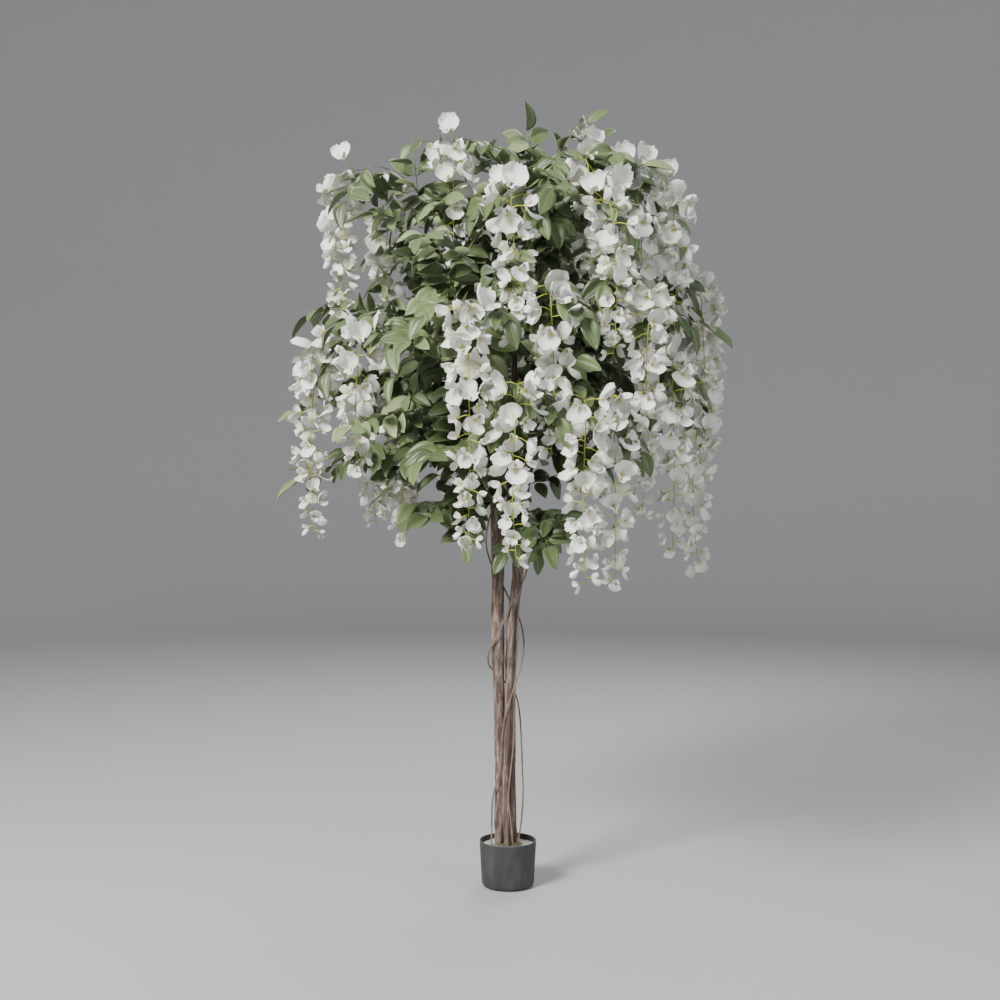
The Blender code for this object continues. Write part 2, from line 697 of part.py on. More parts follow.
def build_trunk(name, rows, twigs, material, collection):
    """A trunk with every twig of its leader grown out of its sides."""
    heights = sorted({round(route[0].z, 3) for route in twigs})
    spots = []
    for z in heights:
        if not spots or z - spots[-1] > 0.020:
            spots.append(z)
    smooth = smooth_route(rows, 3)
    lower = [row for row in smooth if row[2] < spots[0] - 0.02]
    stations = list(lower)
    marks = []
    for z in spots:
        for level in (z - 0.005, z + 0.005):
            centre, radius = at_height(name, level)
            stations.append(Vector((*centre, radius)))
        marks.append(len(stations) - 2)
    stations.append(smooth[-1])
    bm = bmesh.new()
    segments, _ = tube(bm, [Vector(row[:3]) for row in stations], [row[3] for row in stations], TRUNK_SIDES)
    used = set()
    for route in twigs:
        spot = min(range(len(spots)), key=lambda k: abs(spots[k] - route[0].z))
        way = (route[1] - route[0]).normalized()
        wall = facing(segments[marks[spot]], Vector((way.x, way.y, 0)), used)
        radii = [TWIG_ROOT + (TWIG_TIP - TWIG_ROOT) * k / (len(route) - 1) for k in range(len(route))]
        frames = ring_frames(route, radii)
        rings = []
        for frame in frames[1:]:
            corners = ((1, 0, 0), (0, 1, 0), (-1, 0, 0), (0, -1, 0))
            rings.append([frame @ Vector(corner) for corner in corners])
        grow(bm, wall, rings)
    return finish(bm, name, material, collection)


def skin_of(made):
    """A look-up of rays on an object's surface."""
    mesh = made.data
    return BVHTree.FromPolygons([vert.co for vert in mesh.vertices], [face.vertices for face in mesh.polygons])


def vine_route(points, steps):
    """A vine's route, moved out wherever it would touch a trunk."""
    route = [Vector(points[0]), *smooth_route(points[1:], steps)]
    for _ in range(6):
        for point in route:
            for name in TRUNKS:
                centre, radius = at_height(name, point.z)
                away = (point - centre).xy
                least = radius + VINE_RADIUS + VINE_ROOM
                if away.length < least:
                    point.xy = centre.xy + away.normalized() * least
    return route


def build_vine(name, points, material, collection):
    route = vine_route(points, 2)
    bm = bmesh.new()
    tube(bm, route, [VINE_RADIUS] * len(route), VINE_SIDES)
    return finish(bm, name, material, collection)


def turned(name, profile, steps, material, collection):
    """A shape turned about the vertical axis from its outline, with a flat face across each open end."""
    bm = bmesh.new()
    verts = [bm.verts.new((r, 0, z)) for r, z in profile]
    edges = [bm.edges.new(pair) for pair in zip(verts, verts[1:])]
    bmesh.ops.spin(bm, geom=verts + edges, cent=(0, 0, 0), axis=(0, 0, 1), angle=math.tau,
                   steps=steps, use_merge=True)
    bmesh.ops.remove_doubles(bm, verts=bm.verts, dist=1e-5)
    bmesh.ops.holes_fill(bm, edges=[edge for edge in bm.edges if edge.is_boundary], sides=0)
    bmesh.ops.recalc_face_normals(bm, faces=bm.faces)
    return finish(bm, name, material, collection)


def arc(cx, cz, radius, start, end, steps):
    """Points on an arc in the outline's plane, angles in degrees."""
    turns = [math.radians(start + (end - start) * k / steps) for k in range(steps + 1)]
    return [(cx + radius * math.cos(t), cz + radius * math.sin(t)) for t in turns]


def build_pot(material, collection):
    """A tapered round pot with a rounded foot, a rounded lip and a flat floor inside."""
    foot = POT_FOOT_ROUND
    lip = POT_WALL / 2
    outer_foot = arc(POT_BASE_RADIUS - foot, foot, foot, 0, -90, 3)
    rim = arc(POT_RADIUS - lip, POT_HEIGHT - lip, lip, 180, 0, 2)
    inside = (POT_BASE_RADIUS - POT_WALL, POT_WALL)
    return turned("pot", [inside, *rim, *outer_foot], POT_STEPS, material, collection)


def stem_holes(collection):
    """One cutter for each trunk and vine where it stands in the fill."""
    cutters = []
    feet = [(rows[0], rows[0][3]) for rows in TRUNKS.values()]
    feet += [(rows[0], VINE_RADIUS) for rows in VINES.values()]
    for foot, radius in feet:
        top = FILL_TOP + MOSS_HEIGHT + 0.010
        bottom = foot[2] - GAP
        bm = bmesh.new()
        wide = (radius + HOLE_GAP) / math.cos(math.pi / HOLE_SEGMENTS)
        place = Matrix.Translation((foot[0], foot[1], (top + bottom) / 2))
        bmesh.ops.create_cone(bm, cap_ends=True, segments=HOLE_SEGMENTS, radius1=wide, radius2=wide,
                              depth=top - bottom, matrix=place)
        mesh = bpy.data.meshes.new("stem_hole")
        bm.to_mesh(mesh)
        bm.free()
        cutter = bpy.data.objects.new("stem_hole", mesh)
        cutter.hide_render = True
        cutter.display_type = "WIRE"
        collection.objects.link(cutter)
        cutters.append(cutter)
    return cutters


def cut_holes(body, cutters):
    for cutter in cutters:
        hole = body.modifiers.new("stem hole", "BOOLEAN")
        hole.operation = "DIFFERENCE"
        hole.solver = "EXACT"
        hole.object = cutter


def build_fill(material, collection):
    """The pale fill that the stems are set in, clear of the pot's wall all round."""
    low = POT_WALL + GAP
    foot = POT_BASE_RADIUS - POT_WALL - 0.006
    taper = (POT_RADIUS - POT_BASE_RADIUS) * (FILL_TOP - 0.012) / (POT_HEIGHT - 0.011)
    edge = POT_BASE_RADIUS - POT_WALL + taper - 2 * GAP
    profile = [(edge - 0.001, FILL_TOP), (edge, FILL_TOP - 0.001),
               (POT_BASE_RADIUS - POT_WALL - 2 * GAP, 0.012), (foot, low)]
    return turned("potting_fill", profile, FILL_SEGMENTS, material, collection)


def build_moss(material, collection):
    """A low bumpy cushion round the stems, lying on the fill."""
    base = FILL_TOP + GAP
    profile = [(MOSS_RADIUS * 0.55, base + MOSS_HEIGHT),
               (MOSS_RADIUS * 0.85, base + MOSS_HEIGHT * 0.7), (MOSS_RADIUS, base)]
    return turned("moss", profile, 20, material, collection)


def surface(name, colour, roughness):
    material = bpy.data.materials.new(name)
    material.use_nodes = True
    shader = material.node_tree.nodes["Principled BSDF"]
    shader.inputs["Base Color"].default_value = (*colour, 1)
    shader.inputs["Roughness"].default_value = roughness
    return material


def main():
    for old in list(bpy.data.objects):
        bpy.data.objects.remove(old)
    plant = bpy.data.collections.new("potted_wisteria")
    cutters = bpy.data.collections.new("cutters")
    bpy.context.scene.collection.children.link(plant)
    bpy.context.scene.collection.children.link(cutters)
    pot = surface("pot", (0.035, 0.036, 0.038), 0.75)
    fill = surface("fill", (0.60, 0.58, 0.50), 0.9)
    moss = surface("moss", (0.12, 0.13, 0.04), 1.0)
    bark = surface("bark", (0.17, 0.11, 0.085), 0.9)
    vine = surface("vine", (0.22, 0.16, 0.12), 0.85)
    leaf = surface("leaf", (0.10, 0.16, 0.06), 0.5)
    petal = surface("petal", (0.85, 0.85, 0.80), 0.7)
    stems = all_stems()
    rooms = Rooms(stems)
    build_pot(pot, plant)
    holes = stem_holes(cutters)
    cut_holes(build_fill(fill, plant), holes)
    cut_holes(build_moss(moss, plant), holes)
    twigs = [twig_route(raceme) for raceme in RACEMES]
    skins = {}
    for name, rows in TRUNKS.items():
        own = [route for leader, route in twigs if leader == name]
        skins[name] = skin_of(build_trunk(name, rows, own, bark, plant))
    for name, points in VINES.items():
        build_vine(name, points, vine, plant)
    for number, raceme in enumerate(RACEMES, 1):
        build_raceme(number, raceme, rooms, petal, plant)
    routes = dict(stems)
    for number, stem in enumerate(LEAFY_STEMS, 1):
        route = routes[leafy_name(number)]
        if stem.start < TRUNKS[stem.leader][-1][2]:
            route = seated(route, skins[stem.leader])
        build_leafy_stem(number, route, rooms, leaf, plant)


main()
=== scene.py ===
"""Potted white wisteria, dressed for its picture. Metres, +Z up, -Y towards the camera."""

import json
import math
import random
from collections import namedtuple

import bmesh
import bpy
from mathutils import Matrix, Vector, noise
from mathutils.kdtree import KDTree

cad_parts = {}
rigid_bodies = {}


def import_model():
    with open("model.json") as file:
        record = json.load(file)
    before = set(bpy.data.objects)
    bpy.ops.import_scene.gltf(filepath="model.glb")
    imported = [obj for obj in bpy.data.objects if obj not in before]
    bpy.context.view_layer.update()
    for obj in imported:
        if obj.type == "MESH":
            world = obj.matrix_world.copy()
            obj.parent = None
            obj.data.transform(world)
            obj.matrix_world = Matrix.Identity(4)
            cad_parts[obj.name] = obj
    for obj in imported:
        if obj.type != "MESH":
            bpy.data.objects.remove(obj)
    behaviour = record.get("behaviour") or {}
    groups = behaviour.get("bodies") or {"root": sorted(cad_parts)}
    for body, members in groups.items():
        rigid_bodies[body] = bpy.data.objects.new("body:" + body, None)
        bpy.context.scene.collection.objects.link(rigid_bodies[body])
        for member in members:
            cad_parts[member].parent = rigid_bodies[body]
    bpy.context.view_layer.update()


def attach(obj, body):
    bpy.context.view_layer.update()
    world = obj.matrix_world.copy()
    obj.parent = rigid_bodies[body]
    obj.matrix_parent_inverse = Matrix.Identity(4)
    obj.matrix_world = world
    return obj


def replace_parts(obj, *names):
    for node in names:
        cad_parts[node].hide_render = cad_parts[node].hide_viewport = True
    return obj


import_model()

DOWN = Vector((0, 0, -1))
UP = Vector((0, 0, 1))

# The picture's view: the camera's place, and the focal length and the sensor's width in mm
CAMERA_PLACE = (-0.018, -3.0, 0.881)
LENS = 47.2
SENSOR = 36

# The floor: a disc that rises all round into a plain backdrop
FLOOR_RADIUS = 6.0
SWEEP_ROUND = 2.5
SWEEP_HEIGHT = 7.0

# Each lamp's place, width, power and colour, the point that they face, and the light from all round
LAMPS = {
    "key": ((-2.4, -2.9, 3.3), 1.5, 370, (1.0, 0.985, 0.96)),
    "fill": ((3.0, -2.4, 2.0), 2.4, 45, (0.94, 0.97, 1.0)),
    "back": ((0.8, 2.6, 3.4), 2.0, 70, (1.0, 1.0, 1.0)),
}
LIT_POINT = Vector((0, 0, 1.0))
SKY_COLOUR = (0.75, 0.77, 0.80)
SKY_STRENGTH = 0.60

# What is left between two pieces that touch
GAP = 0.0003

# A vine's radius, and the room between it and a trunk
VINE_RADIUS = 0.0021
VINE_ROOM = 0.0036

# Twigs: radii and the share of them drawn, where the lowest and highest start, and how short they end
TWIG_ROOT = 0.0042
TWIG_TIP = 0.0015
TWIG_SLIM = 0.62
TWIGS_FROM = 0.86
TWIGS_BELOW_TIP = 0.03
TWIG_STEPS = 5
TWIG_SHORT = 0.026

# The angles from +X where the back third and the left third of the crown end
BACK_ENDS = 118
LEFT_ENDS = 262

# A raceme's stalk: steps, the length over which it bends down, and its sway
RACEME_STEPS = 24
RACEME_BEND = 0.05
RACEME_SWAY = 0.10

# Leafy stems: the straight foot, the room kept from other stems, and the bows and shifts tried in turn
LEAD_IN = 0.004
STEM_ROOM = 0.012
STEM_BOWS = (0.13, 0.06, 0.20, 0.0, 0.27)
STEM_SHIFTS = (0.0, 0.012, -0.012, 0.024, -0.024, 0.040, -0.040)

# Spacing of the points that stand for stems in a search for room, and what florets and leaves keep off
STEM_SAMPLES = 0.005
ROOM_SAMPLES = 0.006
OFF_STEM = 0.004

# Florets: width, spacing, the last one's size, pedicels at the top and tip, the share that hang upside
# down, and the height above which a raceme's first two stand up
FLORET_WIDTH = 0.054
FLORET_SPACING = 0.0122
TIP_SHARE = 0.48
PEDICEL = (0.033, 0.013)
HANGING = 0.72
UPRIGHT_ABOVE = 1.48

# Leaves: width by length, lengths, spacing of pairs on stems and shoots, and the light they face
LEAF_SHARE = 0.54
LEAF_LENGTH = (0.050, 0.074)
STEM_LEAVES = 0.024
SHOOT_LEAVES = 0.028
TO_LIGHT = Vector((-0.10, -0.35, 0.0))

# Side shoots on a twig and on a leafy stem, and their lengths
TWIG_SHOOTS = 6
STEM_SHOOTS = 5
SHOOT_LENGTH = (0.07, 0.15)

# Green stems: the radius at the foot and what is lost by the tip, or the radii along it
RACEME_STALK = (0.0013, 0.0006)
LEAFY_STALK = (0.0019, 0.0011)
SHOOT_RADIUS = 0.0011
PEDICEL_RADII = (0.0009, 0.0009, 0.0011)
PETIOLE_RADII = (0.0008, 0.0007)
CALYX_LENGTH = 0.005

# A floret or leaf without room is tried smaller, and turned by each of these angles
SHRINKS = (1.0, 0.85, 0.7)
FLORET_TURNS = (0, 25, -25, 50, -50)
LEAF_TURNS = (0, 25, -25, 45)

# How many shapes the florets and the leaves share, and the seeds of the random draws
PETAL_SHAPES = 8
LEAF_SHAPES = 7
PETAL_SEED = 500
LEAF_SEED = 900
RACEME_SEED = 7100
STEM_SEED = 8300
TWIG_SEED = 8600
SHADE_SEED = 5
MOSS_SEED = 31

# The pot, with the round at its foot and the step under its lip
POT_RADIUS = 0.065
POT_BASE_RADIUS = 0.060
POT_HEIGHT = 0.105
POT_WALL = 0.0035
POT_FOOT_ROUND = 0.011
LIP_HEIGHT = 0.004
LIP_STEP = 0.0002

# The fill, its top's share of the pot's flare, and the moss on it
FILL_TOP = 0.093
FILL_SHARE = 0.85
FILL_DEPTH = 0.02
FILL_EDGE = 0.004
MOSS_RADIUS = 0.040
MOSS_HEIGHT = 0.007
MOSS_LIFT = 0.0008
MOSS_SKIRT = 0.002
MOSS_TUFTS = 900

# A stem's map: its scale along the stem, and the turn past which a face may cross the seam
MAP_ALONG = 8
SEAM_TURN = 2.2

# The tables are in mm. A trunk's centre line: x, y, z and radius
TRUNK_FOOT = 50
VINE_FOOT = 72


def in_metres(*rows):
    """Rows of a table in mm, as tuples in metres."""
    return [tuple(value / 1000 for value in row) for row in rows]


TRUNKS = {
    "trunk_left": in_metres(
        (-19, -2, TRUNK_FOOT, 11.2), (-19, -2, 105, 11.2), (-18, -3, 195, 11.5), (-17, -4, 300, 12.2),
        (-20, -4, 430, 13), (-23.5, -3, 600, 13.8), (-24, -3, 800, 14), (-33, -6, 960, 11.5),
        (-52, -12, 1140, 8.8), (-72, -22, 1300, 6.8), (-88, -30, 1440, 4.5)),
    "trunk_right": in_metres(
        (10, 10, TRUNK_FOOT, 11), (10, 10, 105, 11), (7.5, 10, 195, 11.3), (6.5, 9, 300, 11.6),
        (6, 6, 430, 11.8), (10, 4, 600, 11.8), (22, 1, 700, 11.8), (31, -5, 820, 11.5), (44, -18, 980, 9.8),
        (58, -36, 1160, 8.2), (64, -46, 1330, 6.6), (52, -40, 1480, 5), (45, -34, 1590, 3.4)),
    "trunk_back": in_metres(
        (-1, -19.5, TRUNK_FOOT, 8), (-1, -19.5, 105, 8), (-6, -21.5, 195, 8), (-4, -21.5, 300, 7.9),
        (1, -20.5, 430, 7.7), (8, -18.5, 600, 7.5), (17, -21.5, 700, 7.4), (17, -24, 790, 7.4),
        (5, -10, 880, 7.5), (4, 22, 985, 7.5), (12, 60, 1110, 7.1), (16, 90, 1280, 6), (8, 100, 1450, 4.2)),
}

# A vine's centre line, from the fill up
VINES = {
    "vine_front": in_metres(
        (24, -6, VINE_FOOT), (24, -6, 104), (31, -4, 150), (35, -3, 210), (33, -2, 270), (30, 0, 350),
        (26, 14, 400), (16, 31, 435), (-8, 34, 462), (-30, 20, 485), (-44, 7, 505), (-44, -10, 532),
        (-27, -24, 568), (-6, -27, 612), (16, -25, 660), (36, -19, 700), (48, -6, 742), (50, 4, 790)),
    "vine_left": in_metres(
        (-37, -10, VINE_FOOT), (-37, -10, 104), (-37, -6, 150), (-34, -14, 205), (-24, -24, 245),
        (-14, -28, 285), (-12, -27, 330), (-5, -31, 395), (12, -31, 450), (29, -16, 500), (37, 7, 550),
        (29, 25, 600), (5, 31, 650), (-20, 25, 700), (-41, 14, 742), (-50, -2, 785), (-44, -15, 830),
        (-32, -26, 870)),
    "vine_right": in_metres(
        (11, -27, VINE_FOOT), (11, -27, 104), (7, -33, 150), (1, -34.5, 205), (6, -33.5, 265),
        (13, -27, 340), (15.5, -18, 450), (21.5, -13.5, 550), (23.5, -14, 620), (27.5, -15.5, 670),
        (30, -21, 702), (22, -34.5, 738), (10, -37, 785), (3, -31, 835), (3, -26, 870)),
}

# Where each raceme hangs: x and y of its stalk, height of its top, and its length
Raceme = namedtuple("Raceme", "x y top length")
RACEMES = [Raceme(*row) for row in in_metres(
    (-410, -100, 1240, 460), (-367, -60, 1620, 380), (-300, -270, 1250, 340), (-300, 110, 1120, 320),
    (-235, 45, 1060, 290), (-81, -420, 1270, 510), (5, -320, 1510, 330), (17, -450, 1110, 370),
    (82, -370, 1315, 360), (148, -425, 1085, 400), (205, -365, 1100, 420), (165, -215, 1620, 380),
    (205, -320, 1500, 350), (280, -140, 1600, 420), (350, -130, 1570, 370), (428, -15, 1370, 450),
    (335, -225, 1200, 450), (410, -125, 1145, 450), (285, -290, 1330, 380), (425, 120, 1300, 420),
    (-118, -150, 1670, 280), (250, 175, 1600, 380), (330, 300, 1250, 440), (165, 280, 1580, 380),
    (190, 420, 1180, 400), (30, 445, 1280, 440), (-30, 270, 1600, 360), (-160, 395, 1320, 440),
    (-300, 305, 1230, 420), (-275, 120, 1600, 440))]

# Leafy stems: the leader that each leaves, at what height, and where its tip reaches
LeafyStem = namedtuple("LeafyStem", "leader start tip")
LEAFY_STEMS = [LeafyStem(f"trunk_{side}", height / 1000, in_metres(tip)[0]) for side, height, *tip in [
    ("right", 1590, 43, -30, 1712), ("left", 1390, -150, -190, 1525), ("left", 1300, -290, -140, 1505),
    ("left", 1220, -180, -330, 1420), ("left", 1120, -200, -370, 1200), ("left", 1030, -330, -330, 1030),
    ("left", 960, -170, -370, 960), ("left", 880, -175, -170, 845), ("left", 1100, -480, 0, 1085),
    ("left", 940, -465, -30, 930), ("left", 1190, -445, 20, 1310), ("right", 880, 85, -210, 785),
    ("right", 1040, -30, -370, 1010), ("right", 1380, 90, -290, 1500), ("right", 980, 260, -230, 970),
    ("right", 1200, 450, -70, 1270), ("back", 1080, 330, 180, 1080), ("back", 1240, 100, 370, 1440),
    ("back", 960, -100, 360, 960), ("back", 1400, 230, 230, 1620), ("left", 1270, -320, 210, 1480),
]]

# Routes


def smooth_route(points, steps):
    """A smooth curve through points of any number of values, as tuples, with steps to a span."""
    rows = [Vector(p) for p in points]
    ends = [2 * rows[0] - rows[1], *rows, 2 * rows[-1] - rows[-2]]
    route = []
    for a, b, c, d in zip(ends, ends[1:], ends[2:], ends[3:]):
        for step in range(steps):
            t = step / steps
            route.append(0.5 * (2 * b + (c - a) * t + (2 * a - 5 * b + 4 * c - d) * t**2
                                + (3 * b - a - 3 * c + d) * t**3))
    return [*route, rows[-1]]


def bezier(a, b, c, d, steps):
    """Points along a cubic curve from a to d."""
    made = []
    for step in range(steps + 1):
        t = step / steps
        u = 1 - t
        made.append(u**3 * a + 3 * u * u * t * b + 3 * u * t * t * c + t**3 * d)
    return made


def at_height(name, z):
    """Centre and radius of a trunk at height z."""
    rows = smooth_route(TRUNKS[name], 3)
    for low, high in zip(rows, rows[1:]):
        if low[2] <= z <= high[2]:
            share = (z - low[2]) / (high[2] - low[2])
            row = low.lerp(high, share)
            return Vector(row[:3]), row[3]
    return Vector(rows[-1][:3]), rows[-1][3]


def leader_of(x, y):
    """The trunk whose third of the crown holds this place, seen from above."""
    turn = math.degrees(math.atan2(y, x)) % 360
    if turn < BACK_ENDS:
        return "trunk_back"
    return "trunk_left" if turn < LEFT_ENDS else "trunk_right"


def twig_starts():
    """Where each twig leaves its leader: the higher its raceme hangs, the higher up the leader."""
    starts = {}
    for name, rows in TRUNKS.items():
        own = sorted((r for r in RACEMES if leader_of(r.x, r.y) == name), key=lambda r: (r.top, r.x))
        top = rows[-1][2] - TWIGS_BELOW_TIP
        for rank, raceme in enumerate(own):
            starts[raceme] = TWIGS_FROM + (top - TWIGS_FROM) * rank / (len(own) - 1)
    return starts


def twig_route(raceme):
    """A twig from its leader, up and over to where the raceme hangs."""
    name = leader_of(raceme.x, raceme.y)
    start, _ = at_height(name, twig_starts()[raceme])
    out = Vector((raceme.x - start.x, raceme.y - start.y, 0))
    reach = out.length - TWIG_SHORT
    out.normalize()
    top = Vector((raceme.x, raceme.y, raceme.top)) - out * TWIG_SHORT
    rise = max(top.z - start.z, 0.05)
    lift = start + out * reach * 0.35 + UP * (rise * 0.75 + 0.02)
    over = top - out * min(0.10, reach * 0.35) + UP * 0.045
    return name, bezier(start, lift, over, top, TWIG_STEPS)


def raceme_route(raceme):
    """The hanging stalk: it leaves the twig's end, bends down under its weight and sways a little."""
    _, twig = twig_route(raceme)
    way = (twig[-1] - twig[-2]).normalized()
    sway = Vector((math.sin(raceme.x * 31 + raceme.y * 17), math.cos(raceme.x * 23 - raceme.y * 29), 0))
    step = raceme.length / RACEME_STEPS
    point = twig[-1] + way * (2 * GAP)
    route = [point]
    for k in range(1, RACEME_STEPS + 1):
        bend = min(1.0, (k - 1) / RACEME_STEPS * raceme.length / RACEME_BEND)
        swing = math.sin(k / RACEME_STEPS * math.pi * 1.6)
        heading = way.lerp(DOWN, bend) + sway * RACEME_SWAY * bend * swing
        point = point + heading.normalized() * step
        route.append(point)
    return route


def leafy_route(stem, start_z, bow, steps=14):
    """A leafy stem from its leader, bowed upwards on its way to the tip."""
    centre, radius = at_height(stem.leader, start_z)
    tip = Vector(stem.tip)
    way = (tip - centre).normalized()
    if start_z >= TRUNKS[stem.leader][-1][2]:
        start = centre + way * (2 * GAP)
    else:
        way = Vector((way.x, way.y, 0)).normalized()
        start = centre + way * (radius + 2 * GAP)
    foot = start
    start = start + way * LEAD_IN
    span = (tip - start).length
    lift = start + way * span * 0.35 + UP * span * bow
    over = tip - way * span * 0.30 + UP * span * bow
    return [foot, *bezier(start, lift, over, tip, steps)]


def bent_clear(stem, taken):
    """The first route from the leader to the stem's tip, of several starts and bows, that keeps clear."""
    top = TRUNKS[stem.leader][-1][2]
    if stem.start >= top:
        return leafy_route(stem, stem.start, 0.0)
    best = (-1.0, None)
    for bow in STEM_BOWS:
        for shift in STEM_SHIFTS:
            route = leafy_route(stem, min(stem.start + shift, top - 0.01), bow)
            room = min(taken.find(point)[2] for point in even(route, 60))
            if room > STEM_ROOM:
                return route
            if room > best[0]:
                best = (room, route)
    return best[1]


def reaches(route):
    """How far along a route each of its points lies."""
    lengths = [0.0]
    for a, b in zip(route, route[1:]):
        lengths.append(lengths[-1] + (b - a).length)
    return lengths


def along(route, lengths, reach):
    """The point at this reach along a route."""
    for k in range(1, len(route)):
        if lengths[k] >= reach:
            share = (reach - lengths[k - 1]) / (lengths[k] - lengths[k - 1])
            return route[k - 1].lerp(route[k], share)
    return route[-1].copy()


def even(route, count):
    """count + 1 points evenly spaced along a route."""
    lengths = reaches(route)
    return [along(route, lengths, lengths[-1] * k / count) for k in range(count + 1)]


def sampled(route, spacing):
    """Points along a route, about this far apart."""
    return even(route, max(2, round(reaches(route)[-1] / spacing)))


def look_up(points):
    """A look-up of the nearest of these points."""
    tree = KDTree(len(points))
    for index, point in enumerate(points):
        tree.insert(point, index)
    tree.balance()
    return tree


class Rooms:
    """Who is nearest to a point. Each stem keeps its florets and leaves to the room nearest to itself."""

    def __init__(self, stems):
        points, self.names = [], []
        for name, route in stems:
            own = sampled(route, ROOM_SAMPLES)
            points += own
            self.names += [name] * len(own)
        self.tree = look_up(points)

    def holds(self, name, points):
        """True if every point is in this stem's room, and off all stems."""
        for point in points:
            _, index, distance = self.tree.find(point)
            if self.names[index] != name or distance < OFF_STEM:
                return False
        return True


def all_stems():
    """Every stem in the crown with its node's name."""
    stems = []
    for name, rows in TRUNKS.items():
        stems.append((name, [Vector(row[:3]) for row in rows]))
    for number, raceme in enumerate(RACEMES, 1):
        leader, twig = twig_route(raceme)
        stems.append((leader, twig))
        stems.append((raceme_name(number), raceme_route(raceme)))
    for number, stem in enumerate(LEAFY_STEMS, 1):
        # All but the leader's own line, which starts low in the fill
        others = [route for name, route in stems if name != stem.leader or route[0].z > FILL_TOP]
        taken = look_up([point for route in others for point in sampled(route, STEM_SAMPLES)])
        stems.append((leafy_name(number), bent_clear(stem, taken)))
    return stems


def raceme_name(number):
    return f"raceme_{number:02d}"


def leafy_name(number):
    return f"leafy_stem_{number:02d}"


# Meshes and objects


def axes_at(place, x, y, z):
    """A matrix that takes the three axes to these vectors and the origin to this place."""
    rows = Matrix((x, y, z)).transposed().to_4x4()
    rows.translation = place
    return rows


def basis(out, up_hint):
    """Side, up and out axes of a right-handed set with this out."""
    side = up_hint.cross(out)
    if side.length < 1e-6:
        side = Vector((1, 0, 0)).cross(out)
    side.normalize()
    return side, out.cross(side).normalized(), out.normalized()


def ring_frames(route, radii):
    """A matrix for each ring of a tube, turned as little as possible from one to the next."""
    frames = []
    side = None
    for k, (point, radius) in enumerate(zip(route, radii)):
        way = (route[min(k + 1, len(route) - 1)] - route[max(k - 1, 0)]).normalized()
        if side is None:
            side = way.orthogonal().normalized()
        side = (side - way * side.dot(way)).normalized()
        frames.append(axes_at(point, side * radius, way.cross(side) * radius, way))
    return frames


def empty(*layers):
    """An empty mesh with its map, and a layer of numbers for each name."""
    bm = bmesh.new()
    bm.loops.layers.uv.new("map")
    for name in layers:
        bm.verts.layers.float.new(name)
    return bm


def mesh_of(bm, name):
    """The finished mesh."""
    mesh = bpy.data.meshes.new(name)
    bm.to_mesh(mesh)
    bm.free()
    return mesh


def add_object(name, data):
    """An object with this data, in the scene."""
    made = bpy.data.objects.new(name, data)
    bpy.context.scene.collection.objects.link(made)
    return made


def solid(bm, name, material):
    """The mesh as a smooth object with one material."""
    mesh = mesh_of(bm, name)
    mesh.materials.append(material)
    mesh.shade_smooth()
    return add_object(name, mesh)


def piece(bm, name, material):
    """The mesh as a piece that rides on the plant."""
    made = solid(bm, name, material)
    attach(made, "root")
    return made


# Materials


class Nodes:
    """A node tree, with short ways to add to it."""

    def __init__(self, tree):
        self.tree = tree

    def add(self, kind, **values):
        """A new node with these settings."""
        node = self.tree.nodes.new(kind)
        for key, value in values.items():
            setattr(node, key, value)
        return node

    def feed(self, socket, value):
        """What goes into a socket: another node's result, a colour, or any other constant."""
        if isinstance(value, bpy.types.NodeSocket):
            self.tree.links.new(value, socket)
        elif socket.type == "RGBA":
            socket.default_value = (*value, 1)
        else:
            socket.default_value = value

    def fed(self, kind, **inputs):
        """The results of a new node with these inputs."""
        node = self.add(kind)
        for name, value in inputs.items():
            self.feed(node.inputs[name], value)
        return node.outputs

    def attribute(self, name):
        return self.add("ShaderNodeAttribute", attribute_name=name).outputs["Fac"]

    def objects(self):
        return self.add("ShaderNodeTexCoord").outputs["Object"]

    def uv(self):
        return self.add("ShaderNodeUVMap", uv_map="map").outputs["UV"]

    def split(self, vector):
        """A vector's three parts."""
        return list(self.fed("ShaderNodeSeparateXYZ", Vector=vector))

    def noise(self, vector, scale, detail=3.0, roughness=0.55, stretch=None):
        if stretch:
            vector = self.fed("ShaderNodeMapping", Vector=vector, Scale=stretch)["Vector"]
        return self.fed("ShaderNodeTexNoise", Vector=vector, Scale=scale, Detail=detail,
                        Roughness=roughness)["Fac"]

    def ramp(self, value, stops):
        node = self.add("ShaderNodeValToRGB")
        self.feed(node.inputs["Fac"], value)
        elements = node.color_ramp.elements
        while len(elements) < len(stops):
            elements.new(0.5)
        for element, (place, colour) in zip(elements, stops):
            element.position = place
            element.color = (*colour, 1)
        return node.outputs["Color"]

    def mix(self, factor, a, b, blend="MIX"):
        """Two colours mixed by a factor. The node keeps its colour sockets after those of other kinds."""
        node = self.add("ShaderNodeMix", data_type="RGBA", blend_type=blend)
        for index, value in ((0, factor), (6, a), (7, b)):
            self.feed(node.inputs[index], value)
        return node.outputs[2]

    def math(self, operation, *values, clamp=False):
        node = self.add("ShaderNodeMath", operation=operation, use_clamp=clamp)
        for value, socket in zip(values, node.inputs):
            self.feed(socket, value)
        return node.outputs[0]

    def weighted(self, *pairs):
        """The sum of some values, each times its weight."""
        total, *others = [self.math("MULTIPLY", value, weight) for value, weight in pairs]
        for other in others:
            total = self.math("ADD", total, other)
        return total

    def faded(self, *pairs):
        """One less a weighted sum, kept from 0 to 1."""
        return self.math("SUBTRACT", 1.0, self.weighted(*pairs), clamp=True)

    def off_middle(self, across):
        """How far this is from the middle of the map."""
        return self.math("ABSOLUTE", self.math("SUBTRACT", across, 0.5))


